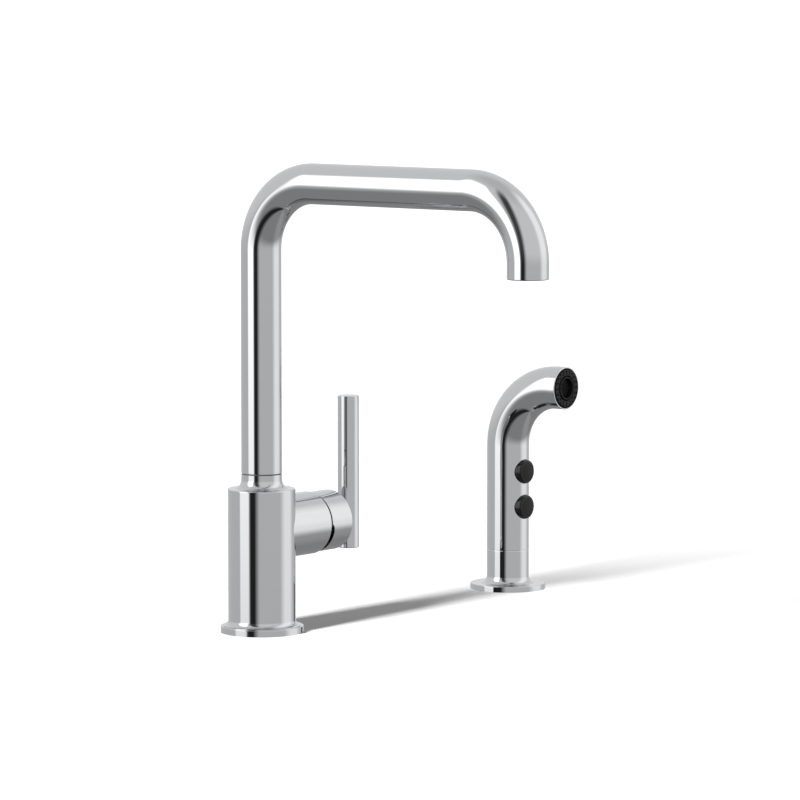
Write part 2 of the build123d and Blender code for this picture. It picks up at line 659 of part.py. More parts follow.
# ---- Lever -------------------------------------------------------------------
def cartridge_stem():
    """Steel lever: ball in the slide, eye on the pin, square end in the cap."""
    start = PIVOT_X - PIVOT_PIN_RADIUS - STEM_EYE_WALL
    length = STEM_END_X - start
    bar = Pos(start + length / 2, 0, hub_height) * Box(length, STEM_WIDTH, STEM_HEIGHT)
    ball = Pos(stem_ball_x, 0, hub_height) * Sphere(STEM_BALL)
    waist = rod_x(STEM_BALL - BALL_NECK, stem_ball_x, start + PAST / 2)
    eye = Cylinder(PIVOT_PIN_RADIUS + RUNNING_GAP, 2 * STEM_WIDTH)
    eye = Pos(PIVOT_X, 0, hub_height) * Rot(90, 0, 0) * eye
    return bar + waist + ball - eye


def handle_cap():
    """Cup that closes the hub, its lower rim set back for the tilt."""
    cup = rod_x(cap_radius, cap_start, cap_end)
    cup = fillet(cup.edges().group_by(Axis.X)[-1], EDGE_ROUND)
    cup -= rod_x(cap_radius - CAP_WALL, cap_start - PAST, cap_end - CAP_END)
    rim = Pos(cap_start, 0, hub_height - cap_radius) * Box(2 * rim_cut, 3 * cap_radius, 2 * cap_radius)
    cup -= rim
    cup += rod_x(BOSS_RADIUS, boss_start, cap_end - CAP_END + PAST)
    head_start = cap_end - CAP_END - SCREW_HEAD_LENGTH - SCREW_HEAD_ROOM
    socket_length = head_start - boss_start + PAST
    middle = boss_start - PAST + socket_length / 2
    gap = 2 * RUNNING_GAP
    cup -= Pos(middle, 0, hub_height) * Box(socket_length, STEM_WIDTH + gap, STEM_HEIGHT + gap)
    cup -= rod_x(SCREW_HEAD + THREAD_GAP, head_start - PAST, cap_end - CAP_END)
    cup -= rod_x(SCREW_RADIUS + THREAD_GAP, head_start, cap_end + PAST)
    grub_x = grub_station()
    cup -= rod_z(GRUB_RADIUS + RUNNING_GAP, hub_height - BOSS_RADIUS - PAST, hub_height, grub_x)
    return cup - rod_z(GRUB_HOLE, 0, hub_height - BOSS_RADIUS - PAST, grub_x)


def grub_station():
    """Where the grub screw stands, clear of the set-back rim."""
    return cap_start + rim_cut + GRUB_RADIUS + GRUB_EDGE


def handle_set_screw():
    """Grub screw that holds the cap on the lever, with a key socket."""
    top = hub_height - STEM_HEIGHT / 2
    bottom = hub_height - BOSS_RADIUS + AXIAL_GAP
    key_plane = Plane.XY.offset(bottom) * Pos(grub_station(), 0)
    key = extrude(key_plane * RegularPolygon(GRUB_KEY, 6), GRUB_KEY_DEPTH)
    return rod_z(GRUB_RADIUS, bottom, top, grub_station()) - key


def handle_neck():
    """Spacer between cap and stick, its end hollowed to sit on the round stick."""
    spacer = rod_x(NECK_RADIUS, cap_end, STICK_X)
    spacer -= rod_z(stick_radius, hub_height - 2 * NECK_RADIUS, hub_height + 2 * NECK_RADIUS, STICK_X)
    return spacer - rod_x(SCREW_RADIUS + THREAD_GAP, cap_end - PAST, STICK_X)


def handle_stick():
    """Upright round stick with softened ends and a tapped cross hole."""
    stick = rod_z(stick_radius, stick_bottom, STICK_TOP, STICK_X)
    stick = fillet(stick.edges(), STICK_ROUND)
    tapping_end = STICK_X + SCREW_PAST_AXIS + AXIAL_GAP
    return stick - rod_x(SCREW_RADIUS + RUNNING_GAP, STICK_X - stick_radius - PAST, tapping_end)


def handle_screw():
    """Socket screw from inside the cap, through the spacer, into the stick."""
    start = cap_end - CAP_END
    head = rod_x(SCREW_HEAD, start - SCREW_HEAD_LENGTH, start)
    key_plane = Plane.YZ.offset(start - SCREW_HEAD_LENGTH) * Pos(0, hub_height)
    key = extrude(key_plane * RegularPolygon(SCREW_KEY, 6), SCREW_KEY_DEPTH)
    return head + rod_x(SCREW_RADIUS, start, STICK_X + SCREW_PAST_AXIS) - key


# ---- Spray holder --------------------------------------------------------------
def spray_holder():
    """Turned holder: flange, cove and tube, bored for the bush and the shank."""
    flange_radius = HOLDER_FLANGE_DIAMETER / 2
    edge = EDGE_ROUND / 2
    top = HOLDER_FLANGE_HEIGHT
    outline = [
        Line((0, 0), (flange_radius, 0)),
        Line((flange_radius, 0), (flange_radius, top - edge)),
        CenterArc((flange_radius - edge, top - edge), edge, 0, 90),
        Line((flange_radius - edge, top), (spray_radius + HOLDER_COVE, top)),
        cove(spray_radius, top, HOLDER_COVE),
        Line((spray_radius, top + HOLDER_COVE), (spray_radius, HOLDER_HEIGHT)),
        Line((spray_radius, HOLDER_HEIGHT), (0, HOLDER_HEIGHT)),
        Line((0, HOLDER_HEIGHT), (0, 0)),
    ]
    bush_fit = BUSH_RADIUS + RUNNING_GAP
    holder = Pos(spray_x, 0, 0) * turned(outline)
    holder -= rod_z(bush_fit, -PAST, HOLDER_HEIGHT + PAST, spray_x)
    holder -= rod_z(HOLDER_SHANK_RADIUS + THREAD_GAP, -PAST, HOLDER_SHANK_GRIP, spray_x)
    lip_floor = bush_top - BUSH_LIP_HEIGHT
    holder -= rod_z(bush_fit + BUSH_LIP, lip_floor - RUNNING_GAP, HOLDER_HEIGHT + PAST, spray_x)
    return holder - gasket_ring(flange_radius, GASKET_THICKNESS + THREAD_GAP, spray_x)


def spray_bush():
    """Plastic bush that turns in the holder and guides the spray's tail."""
    tube = rod_z(BUSH_RADIUS, bush_bottom, bush_top, spray_x)
    lip = rod_z(BUSH_RADIUS + BUSH_LIP, bush_top - BUSH_LIP_HEIGHT, bush_top, spray_x)
    bush = tube + lip - rod_z(bush_bore, bush_bottom - PAST, bush_top + PAST, spray_x)
    return chamfer(bush.edges().group_by(Axis.Z)[-1].sort_by(SortBy.RADIUS)[0], EDGE_ROUND / 2)


def holder_shank():
    """Threaded tube that carries the holder through the deck."""
    tube = rod_z(HOLDER_SHANK_RADIUS, -HOLDER_SHANK_BELOW_DECK, HOLDER_SHANK_GRIP, spray_x)
    tube = chamfer(tube.edges(), SHANK_CHAMFER)
    bore = HOLDER_SHANK_RADIUS - HOLDER_SHANK_WALL
    return tube - rod_z(bore, -HOLDER_SHANK_BELOW_DECK - PAST, HOLDER_SHANK_GRIP + PAST, spray_x)


# ---- Spray head ----------------------------------------------------------------
def spray_path(end):
    """Centre line: up, over one bend, and forward to a distance from the axis."""
    foot = (spray_x, 0, spray_start)
    corner = (spray_x, 0, SPRAY_CENTRE_HEIGHT)
    return FilletPolyline(foot, corner, (spray_x, -end, SPRAY_CENTRE_HEIGHT), radius=spray_bend)


def spray_shell():
    """Bent tube with a hole for each button and a seat for the nozzle's face."""
    path = spray_path(NOZZLE_REACH)
    start = Plane(origin=path @ 0, z_dir=path % 0)
    shell = sweep(start * Circle(spray_radius), path) - sweep(start * Circle(spray_bore), path)
    shell -= rod_y(face_radius + RUNNING_GAP, face_back, NOZZLE_REACH + PAST, z=SPRAY_CENTRE_HEIGHT)
    for height in button_heights:
        shell -= rod_y(button_radius + BUTTON_GAP, 0, spray_radius + PAST, z=height)
    return shell


def spray_tail():
    """Brass tail: plug in the shell, shaft in the bush, socket for the hose."""
    bottom = -TAIL_BELOW_DECK
    tail = rod_z(spray_bore - RUNNING_GAP, spray_start, tail_top, spray_x)
    tail += rod_z(tail_radius, bottom, spray_start, spray_x)
    tail = chamfer(tail.edges().group_by(Axis.Z)[0], EDGE_ROUND)
    groove = oring_groove_height()
    low, high = groove - ORING_GROOVE / 2, groove + ORING_GROOVE / 2
    tail -= ring_z(tail_radius + PAST, tail_radius - ORING_SECTION, low, high, spray_x)
    tail -= rod_z(HOSE_SOCKET_RADIUS, bottom - PAST, bottom + HOSE_SOCKET_DEPTH, spray_x)
    return tail - rod_z(TAIL_BORE, bottom, tail_top + PAST, spray_x)


def oring_groove_height():
    """Middle of the tail's groove, inside the bush."""
    return (bush_bottom + bush_top) / 2


def tail_o_ring():
    """Ring that steadies the tail in its bush."""
    return Pos(spray_x, 0, 0) * o_ring(tail_radius, oring_groove_height())


def valve_block():
    """Moulded valve block with the waterway and a pocket for each button."""
    block = rod_z(block_radius, tail_top, block_top, spray_x)
    hole_back = block_radius - BLOCK_BACK_WALL - TAIL_BORE
    block -= rod_z(TAIL_BORE, tail_top - PAST, block_top + PAST, spray_x, hole_back)
    skirt_floor = button_back - BUTTON_TRAVEL - BUTTON_FLOOR_GAP
    spring_room = SPRING_RADIUS + SPRING_WIRE
    for height in button_heights:
        block -= rod_y(button_radius + BUTTON_GAP, skirt_floor, spray_radius, z=height)
        block -= rod_y(spring_room, spring_floor(), skirt_floor + PAST, z=height)
        stem_floor = stem_end() - BUTTON_TRAVEL - BUTTON_FLOOR_GAP
        block -= rod_y(BUTTON_STEM + RUNNING_GAP, stem_floor, spring_floor() + PAST, z=height)
    return block


def spring_floor():
    """Distance in front of the axis of the bottom of a spring's pocket."""
    return button_back - SPRING_LENGTH - BUTTON_TRAVEL - AXIAL_GAP


def stem_end():
    """Distance in front of the axis of the inner end of a button's stem."""
    return spring_floor() - BUTTON_STEM_ENTRY


def button(height):
    """Push button: domed face with a soft edge, skirt behind and a guide stem."""
    face = BUTTON_FACE_OFFSET
    edge = face - BUTTON_DOME
    flat = button_radius - BUTTON_BEVEL
    sphere = (flat ** 2 + BUTTON_DOME ** 2) / (2 * BUTTON_DOME)
    spread = degrees(asin(flat / sphere))
    outline = [
        Line((0, button_back), (button_radius, button_back)),
        Line((button_radius, button_back), (button_radius, edge - BUTTON_BEVEL)),
        Line((button_radius, edge - BUTTON_BEVEL), (flat, edge)),
        CenterArc((0, face - sphere), sphere, 90 - spread, spread),
        Line((0, face), (0, button_back)),
    ]
    cap = Pos(spray_x, 0, height) * Rot(90, 0, 0) * turned(outline)
    return cap + rod_y(BUTTON_STEM, stem_end(), button_back + PAST, z=height)


def button_spring(height):
    """Return spring round a button's stem, at its pressed length."""
    pitch = (SPRING_LENGTH - SPRING_WIRE) / SPRING_TURNS
    path = Helix(pitch, pitch * SPRING_TURNS, SPRING_RADIUS)
    section = Plane(origin=path @ 0, z_dir=path % 0) * RegularPolygon(SPRING_WIRE / 2, 6)
    wire = sweep(section, path, is_frenet=True)
    start = button_back - SPRING_WIRE / 2 - RUNNING_GAP
    return Pos(spray_x, -start, height) * Rot(-90, 0, 0) * wire


def waterway():
    """Bent tube from the valve block to the nozzle."""
    corner = (spray_x, 0, SPRAY_CENTRE_HEIGHT)
    start, end = (spray_x, 0, block_top), (spray_x, -waterway_end(), SPRAY_CENTRE_HEIGHT)
    path = FilletPolyline(start, corner, end, radius=spray_bend)
    section = Plane(origin=path @ 0, z_dir=path % 0)
    outer = sweep(section * RegularPolygon(WATERWAY_RADIUS, WATERWAY_SIDES), path)
    return outer - sweep(section * RegularPolygon(WATERWAY_RADIUS - WATERWAY_WALL, WATERWAY_SIDES), path)


def waterway_end():
    """Distance in front of the axis where the waterway meets the nozzle."""
    return face_back - FACE_SPIGOT


# ---- Nozzle --------------------------------------------------------------------
def spray_face():
    """Black face: plate with jet holes, spigot in the shell and a round opening."""
    height = SPRAY_CENTRE_HEIGHT
    face = rod_y(face_radius, face_back, NOZZLE_REACH, z=height)
    face += rod_y(spray_bore - RUNNING_GAP, waterway_end(), face_back + PAST / 2, z=height)
    face -= rod_y(stream_radius + RUNNING_GAP, waterway_end() - PAST, NOZZLE_REACH + PAST, z=height)
    for radius in JET_CIRCLES:
        for place in PolarLocations(radius, int(2 * pi * radius / JET_PITCH)):
            x, z = place.position.X, place.position.Y
            face -= rod_y(JET_RADIUS, NOZZLE_REACH - JET_DEPTH, NOZZLE_REACH + PAST, spray_x + x, height + z)
    return face


def stream_ring():
    """Raised ring in the middle of the face, round the stream outlet."""
    height = SPRAY_CENTRE_HEIGHT
    ring = ring_y(stream_radius, stream_bore, waterway_end(), NOZZLE_REACH + STREAM_PROUD, height)
    return fillet(ring.edges().group_by(Axis.Y)[0], STREAM_ROUND)


def stream_insert():
    """Honeycomb that lies back inside the ring."""
    radius = stream_bore - RUNNING_GAP
    front = NOZZLE_REACH - STREAM_RECESS
    depth = front - waterway_end()
    disc = Cylinder(radius, depth, align=LOW) - honeycomb(radius, STREAM_CELL, STREAM_CELL_PITCH, depth)
    return Pos(spray_x, -waterway_end(), SPRAY_CENTRE_HEIGHT) * Rot(90, 0, 0) * disc


# ---- The nodes -----------------------------------------------------------------
def build():
    """Every sub-part by its node's name."""
    rubber, washer, nut = clamp_stack(SHANK_RADIUS)
    holder_rubber, holder_washer, holder_nut = clamp_stack(HOLDER_SHANK_RADIUS, spray_x)
    upper, lower = button_heights
    return {
        "faucet_body": faucet_body(),
        "base_flange": base_flange(),
        "base_gasket": gasket_ring(FLANGE_DIAMETER / 2, GASKET_THICKNESS),
        "mounting_shank": mounting_shank(),
        "deck_washer_rubber": rubber,
        "deck_washer_steel": washer,
        "mounting_nut": nut,
        "spout_tube": spout_tube(),
        "spout_spigot": spout_spigot(),
        "spout_o_rings": spout_o_rings(),
        "spout_glide_ring": spout_glide_ring(),
        "spout_retaining_clip": spout_retaining_clip(),
        "aerator_housing": aerator_housing(),
        "aerator_insert": aerator_insert(),
        "aerator_washer": aerator_washer(),
        "diverter_body": diverter_body(),
        "diverter_plunger": diverter_plunger(),
        "cartridge_base": cartridge_base(),
        "port_seals": port_seals(),
        "cartridge_housing": cartridge_housing(),
        "fixed_disc": fixed_disc(),
        "moving_disc": moving_disc(),
        "disc_holder": disc_holder(),
        "cartridge_carrier": cartridge_carrier(),
        "lever_pin": lever_pin(),
        "temperature_stop": temperature_stop(),
        "bonnet_nut": bonnet_nut(),
        "cartridge_stem": cartridge_stem(),
        "handle_cap": handle_cap(),
        "handle_set_screw": handle_set_screw(),
        "handle_neck": handle_neck(),
        "handle_stick": handle_stick(),
        "handle_screw": handle_screw(),
        "spray_holder": spray_holder(),
        "holder_gasket": gasket_ring(HOLDER_FLANGE_DIAMETER / 2, GASKET_THICKNESS, spray_x),
        "holder_shank": holder_shank(),
        "holder_washer_rubber": holder_rubber,
        "holder_washer_steel": holder_washer,
        "holder_nut": holder_nut,
        "spray_bush": spray_bush(),
        "spray_shell": spray_shell(),
        "spray_tail": spray_tail(),
        "tail_o_ring": tail_o_ring(),
        "valve_block": valve_block(),
        "upper_button": button(upper),
        "lower_button": button(lower),
        "upper_spring": button_spring(upper),
        "lower_spring": button_spring(lower),
        "waterway": waterway(),
        "spray_face": spray_face(),
        "stream_ring": stream_ring(),
        "stream_insert": stream_insert(),
    }


os.makedirs("parts", exist_ok=True)
for node, shape in build().items():
    export_step(shape, f"parts/{node}.step")
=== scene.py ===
"""Kitchen faucet with a side spray: its visible pieces and finishes, the deck, the light and the camera."""

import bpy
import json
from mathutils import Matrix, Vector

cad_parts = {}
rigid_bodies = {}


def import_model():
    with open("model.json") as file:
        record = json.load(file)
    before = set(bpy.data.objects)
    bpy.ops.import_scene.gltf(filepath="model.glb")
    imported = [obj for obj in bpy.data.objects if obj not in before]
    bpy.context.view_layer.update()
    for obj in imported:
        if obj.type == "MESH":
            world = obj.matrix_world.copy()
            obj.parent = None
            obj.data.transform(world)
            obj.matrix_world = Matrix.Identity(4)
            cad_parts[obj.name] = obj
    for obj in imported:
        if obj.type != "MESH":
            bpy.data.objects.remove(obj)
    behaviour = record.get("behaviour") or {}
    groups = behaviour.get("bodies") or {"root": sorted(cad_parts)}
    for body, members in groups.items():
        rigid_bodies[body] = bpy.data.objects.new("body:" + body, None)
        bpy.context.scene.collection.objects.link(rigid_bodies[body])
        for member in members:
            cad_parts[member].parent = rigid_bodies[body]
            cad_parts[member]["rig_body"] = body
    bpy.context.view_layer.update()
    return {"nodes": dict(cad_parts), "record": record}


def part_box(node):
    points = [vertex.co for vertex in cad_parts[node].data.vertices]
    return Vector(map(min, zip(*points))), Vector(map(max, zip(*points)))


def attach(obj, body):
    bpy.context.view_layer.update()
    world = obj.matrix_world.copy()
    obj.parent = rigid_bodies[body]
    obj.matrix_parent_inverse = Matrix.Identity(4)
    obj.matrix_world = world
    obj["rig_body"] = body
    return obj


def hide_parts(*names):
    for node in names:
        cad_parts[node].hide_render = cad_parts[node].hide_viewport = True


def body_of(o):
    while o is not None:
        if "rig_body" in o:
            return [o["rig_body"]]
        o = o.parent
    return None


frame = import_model()

import json
from math import asin, ceil, cos, degrees, pi, radians, sin, sqrt

import bmesh
import bpy
from bpy.props import FloatProperty, FloatVectorProperty, IntProperty, PointerProperty
from bpy.types import Operator, Panel, PropertyGroup
from mathutils import Vector

bl_info = {
    "name": "Side Spray Faucet",
    "version": (1, 0, 0),
    "blender": (4, 5, 0),
    "location": "3D View > Sidebar > Faucet",
    "description": "Models a deck faucet with a swivel spout, a side lever and a side spray",
    "category": "Add Mesh",
}

MM = 0.001
AXES = {"X": Vector((1, 0, 0)), "Y": Vector((0, 1, 0)), "Z": Vector((0, 0, 1))}
FACING = {"X": (0, pi / 2, 0), "Y": (pi / 2, 0, 0), "Z": (0, 0, 0)}

# How finely the pieces are drawn
SIDES = {"body": 240, "cap": 200, "spray": 192, "chrome": 160, "nozzle": 144, "medium": 128,
         "small": 96, "shade_sleeve": 48, "jet": 12}
BEND_STEPS = {"spout": 40, "spray": 48}    # rings along a quarter bend
ROUND_STEPS = 8                # rows in the round on a sharp edge
BLOCK_STEPS = 16               # rows in the curve of the block that cuts the lever's cap
SMOOTH_ANGLE = radians(14)     # an edge sharper than this stays a crease
SHARP = radians(40)            # an edge sharper than this may be softened

# Rings that keep the shine even: one on each side of an edge, and more along a stretch
HOLD = 0.15 * MM               # ring to the edge beside it
NOSE_HOLD = 0.5 * MM           # the same on the spray's nose
SHORT = 6                      # a stretch of fewer holds than this gets none
STRETCH = 20 * MM              # longest stretch of a tube without a ring
SPRAY_STRETCH = 1.5 * MM       # the same on the spray, for an even shine round the buttons' holes
NOSE_STRETCH = 2 * MM          # the same on its nose
UNBROKEN = 1.0                 # longer than any stretch

MERGE = 0.002 * MM             # corners closer than this are one
EQUAL = 1e-9                   # radii closer than this are the same
PAST = MM                      # how far a cutter reaches past what it cuts
BLOCK_WIDTH = 1.5              # width of the block that cuts the cap, in widths of the cap


def linear(hex_colour):
    """Linear red, green and blue of an sRGB hex colour."""
    parts = [int(hex_colour[i:i + 2], 16) / 255 for i in (1, 3, 5)]
    return tuple(c / 12.92 if c <= 0.04045 else ((c + 0.055) / 1.055) ** 2.4 for c in parts)


def length(name, default, description):
    """Length property in metres, its default in millimetres."""
    return FloatProperty(name=name, description=description, default=default * MM,
                         unit="LENGTH", precision=5, min=0.0)


def colour(name, default, description):
    """Colour property, its default an sRGB hex colour."""
    return FloatVectorProperty(name=name, description=description, subtype="COLOR", size=3,
                               min=0.0, max=1.0, default=linear(default))


# ---- Sizes and colours -------------------------------------------------------
class SpoutSizes(PropertyGroup):
    wall: length("Wall", 1.4, "Thickness of the spout's tube")
    bend: length("Bend", 45.0, "Radius of both bends, to the tube's centre line")
    drop: length("Drop", 10.0, "Straight length from the second bend to the outlet")
    foot_round: length("Foot Round", 0.3, "Round on the tube's foot")
    outlet_round: length("Outlet Round", 0.65, "Round on the outlet's edges, seen as a dark line")
    end_hold: length("End Hold", 1.0, "Ring beside each end, which keeps the shine even")


class BodySizes(PropertyGroup):
    radius: length("Radius", 22.5, "Outside of the body")
    height: length("Height", 96.0, "Deck to the flat top of the body")
    neck_radius: length("Neck Radius", 13.5, "Outside of the neck under the spout")
    neck_cove: length("Neck Cove", 6.0, "Hollow curve from the body to the neck")
    neck_bore: length("Neck Bore", 11.05, "Bore that the spout turns in")
    foot_land: length("Foot Land", 0.5, "Upright edge under the foot's curve")
    foot_cove: length("Foot Cove", 3.5, "Hollow curve from the foot to the body")
    edge: length("Edge", 0.8, "Round on the body's top edge")
    hub_radius: length("Hub Radius", 21.1, "Outside of the lever's hub")
    hub_below_top: length("Hub Below Top", 27.6, "Flat top to the hub's axis")
    hub_root: length("Hub Root", 5.0, "Body's axis to the hub's hidden inner end")
    cartridge_radius: length("Cartridge Radius", 17.6, "Bore for the ceramic cartridge")
    cartridge_floor: length("Cartridge Floor", 14.0, "Body's axis to the floor of that bore")
    hub_bore: length("Hub Bore", 18.6, "Wider bore for the bonnet nut")
    hub_step: length("Hub Step", 37.0, "Body's axis to the step between both bores")
    shank_bore: length("Shank Bore", 16.5, "Bore for the threaded shank")
    shank_depth: length("Shank Depth", 18.0, "Depth of that bore")
    chamber: length("Chamber", 8.2, "Radius of the diverter's chamber")
    chamber_gap: length("Chamber Gap", 2.4, "Chamber's top to the spout's spigot")
    gasket_width: length("Gasket Width", 4.5, "Width of the groove under each flange")
    gasket_room: length("Gasket Room", 0.1, "Groove deeper than its gasket")


class LeverSizes(PropertyGroup):
    cap_wall: length("Cap Wall", 2.4, "Wall of the cap")
    cap_end: length("Cap End", 5.2, "Thickness of the cap's end")
    cap_edge: length("Cap Edge", 0.8, "Round on the cap's outer edge")
    rim_step: length("Rim Step", 0.75, "Set-back of the cap's upper rim, which leaves a dark line")
    rim_cut: length("Rim Cut", 3.29, "Set-back of its lower rim, room for the tilt")
    cut_height: length("Cut Height", 7.0, "Height in which the rim goes back, below the hub's axis")
    rim_round: length("Rim Round", 0.4, "Round on the cap's rim")
    boss_radius: length("Boss Radius", 8.4, "Boss inside the cap, on the lever")
    boss_set_back: length("Boss Set Back", 1.3, "Boss behind the cap's rim")
    key_hole: length("Key Hole", 2.6, "Radius of the hole for the grub screw's key")
    stick_edge: length("Stick Edge", 0.5, "Round on both ends of the stick")


class SpraySizes(PropertyGroup):
    radius: length("Radius", 14.9, "Outside of the spray and of its holder")
    wall: length("Wall", 2.0, "Thickness of the spray's shell")
    bend: length("Bend", 42.9, "Radius of the bend, to the centre line")
    flange: length("Flange", 4.0, "Thickness of the holder's flange")
    cove: length("Cove", 5.0, "Hollow curve from the flange to the holder")
    edge: length("Edge", 0.4, "Round on the flange's edge")
    seam_height: length("Seam Height", 0.7, "Height of the chamfer on the holder's top, a light line")
    seam_depth: length("Seam Depth", 0.35, "Depth of that chamfer")
    seam_gap: length("Seam Gap", 0.02, "Holder to the spray's shell")
    seam_rise: length("Seam Rise", 0.35, "Chamfer's top above the seat of the bush")
    bush_bore: length("Bush Bore", 12.0, "Bore for the bush")
    lip_width: length("Lip Width", 1.0, "Width of the step for the bush's lip")
    lip_depth: length("Lip Depth", 2.0, "Depth of that step")
    shank_bore: length("Shank Bore", 13.2, "Bore for the threaded shank")
    shank_depth: length("Shank Depth", 8.0, "Depth of that bore")
    rim_round: length("Rim Round", 0.35, "Round on the shell's edge at the nozzle")
    rim_wall: length("Rim Wall", 0.7, "Wall of the shell round the nozzle")
    rim_back: length("Rim Back", 0.5, "Set-back of the shell's edge behind the nozzle's face")
    hole_end: length("Hole End", 2.0, "Shell's axis to the end of each button's hole")
    button_gap: length("Button Gap", 0.35, "Gap round each button")
    button_bevel: length("Button Bevel", 1.1, "Bevel round a button's face")
    button_dome: length("Button Dome", 0.5, "Height of the dome on a button's face")
    button_skirt: length("Button Skirt", 6.4, "Depth of a button behind its face")
    button_stem: length("Button Stem", 3.6, "Radius of a button's guide stem")
    button_flat: length("Button Flat", 0.3, "Radius of the flat at the top of the dome")


class NozzleSizes(PropertyGroup):
    face_fit: length("Face Fit", 0.05, "Gap round the nozzle's face")
    face_depth: length("Face Depth", 2.2, "Depth of the face's seat in the shell")
    chamfer_width: length("Chamfer Width", 1.5, "Width of the chamfer round the face")
    chamfer_depth: length("Chamfer Depth", 1.0, "Depth of that chamfer")
    face_round: length("Face Round", 0.25, "Round on the face's inner edge")
    groove_width: length("Groove Width", 0.9, "Width of the groove round the stream's lip")
    groove_depth: length("Groove Depth", 1.4, "Depth of that groove")
    lip_wall: length("Lip Wall", 1.1, "Wall of the stream's lip")
    lip_round: length("Lip Round", 0.4, "Round on the stream's lip")
    jet_depth: length("Jet Depth", 1.2, "Depth of a jet's hole")
    jet_bottom: length("Jet Bottom", 0.48, "Radius at the bottom of the hole")
    jet_radius: length("Jet Radius", 0.6, "Radius of the hole where it starts to flare")
    jet_flare: length("Jet Flare", 0.15, "Depth of the flare")
    jet_mouth: length("Jet Mouth", 0.84, "Radius of the flare where it is widest, off the face")
    jet_off: length("Jet Off", 0.1, "Distance of that place off the face")
    jet_inner: length("Inner Jets", 10.4, "Radius of the inner ring of jets")
    jet_outer: length("Outer Jets", 12.0, "Radius of the outer ring of jets")
    jets_inside: IntProperty(name="Jets Inside", description="Jets in the inner ring",
                             default=16, min=3)
    jets_outside: IntProperty(name="Jets Outside", description="Jets in the outer ring",
                              default=20, min=3)


class FinishColours(PropertyGroup):
    chrome: colour("Chrome", "#C9CACC", "Chrome plate on every bright piece")
    satin: colour("Satin Chrome", "#A2A4A6", "Satin plate on the aerator")
    # The brass is dark partly as painted shade inside the lever's hub.
    brass: colour("Brass", "#8A7044", "Turned brass under the deck and inside")
    steel: colour("Steel", "#A9ABAD", "Stainless steel washers, screws and springs")
    black: colour("Black Plastic", "#12110F", "Etched faces of the buttons")
    # The polished black is also painted shade: on the buttons' rims and sides, and in the nozzle's chamfer
    # and hollows.
    polished: colour("Polished Black", "#050505", "Polished edges of the black mouldings")
    charcoal: colour("Nozzle Plastic", "#0E0D0C", "Etched face of the nozzle")
    rubber: colour("Rubber", "#1E1E1F", "Seals and washers")
    acetal: colour("Acetal", "#3A3B3D", "Bearing ring and bush")
    # The grey is dark partly as painted shade inside the lever's hub.
    moulding: colour("Grey Moulding", "#3F4042", "Cartridge and valve mouldings")
    ceramic: colour("Ceramic", "#ECEAE4", "Ground ceramic discs")
    # The screen's black is partly painted shade in the stream's recess.
    screen: colour("Screen", "#0F0F0F", "Dark mouldings that shape the stream")
    deck: colour("Deck", "#F4F4F4", "Floor under the faucet")


def sizes(part):
    """Property group of one part of the faucet."""
    return getattr(bpy.context.scene, "faucet_" + part)


# ---- Materials ---------------------------------------------------------------
# A Mix node's inputs and outputs repeat their names, so they go by number: inputs 2 and 3 and output 0
# for numbers, inputs 6 and 7 and output 2 for colours.
def wire(tree, node, inputs):
    """Sets or links inputs of a node; each is a value, or the socket that it comes from."""
    for key, value in inputs.items():
        if isinstance(value, bpy.types.NodeSocket):
            tree.links.new(value, node.inputs[key])
        else:
            node.inputs[key].default_value = value


def add(tree, kind, inputs=None, stops=(), **settings):
    """Adds a node with its settings, its inputs and a ramp's stops, each a place and a grey.

    Returns its outputs."""
    node = tree.nodes.new(kind)
    for name, value in settings.items():
        setattr(node, name, value)
    wire(tree, node, inputs or {})
    for index, (place, grey) in enumerate(stops):
        elements = node.color_ramp.elements
        element = elements[index] if index < len(elements) else elements.new(1.0)
        element.position = place
        element.color = (grey, grey, grey, 1)
    return node.outputs


def begin(name):
    """Material with an empty surface, and the object's own coordinates in metres."""
    material = bpy.data.materials.new(name)
    material.use_nodes = True
    tree = material.node_tree
    place = add(tree, "ShaderNodeTexCoord")["Object"]
    return material, tree, tree.nodes["Principled BSDF"], place


def surface(tree, shader, base, spread, rough, relief, tone, wear=None, bumps=None):
    """Colour, roughness and relief that follow patterns: by a share, between two values, in metres.

    Returns the sockets of the colour and the roughness."""
    dark, light = ((*(min(part * (1 + change), 1) for part in base), 1) for change in (-spread, spread))
    mixed = add(tree, "ShaderNodeMix", {"Factor": tone, 6: dark, 7: light}, data_type="RGBA")
    worn = add(tree, "ShaderNodeMapRange", {"Value": wear or tone, "To Min": rough[0], "To Max": rough[1]})
    wire(tree, shader, {"Base Color": mixed[2], "Roughness": worn[0]})
    if relief:
        raised = add(tree, "ShaderNodeBump", {"Distance": relief, "Height": bumps or tone})
        wire(tree, shader, {"Normal": raised[0]})
    return mixed[2], worn[0]


def grained(name, base, grain, detail, spread, rough, relief, uneven=0.5, metallic=0.0, specular=0.5):
    """Material whose look follows one grain, of lumps about a size, in metres, across."""
    material, tree, shader, place = begin(name)
    pattern = add(tree, "ShaderNodeTexNoise", {"Vector": place, "Scale": 1 / grain, "Detail": detail,
                                               "Roughness": uneven})[0]
    wire(tree, shader, {"Metallic": metallic, "Specular IOR Level": specular})
    surface(tree, shader, base, spread, rough, relief, pattern)
    return material


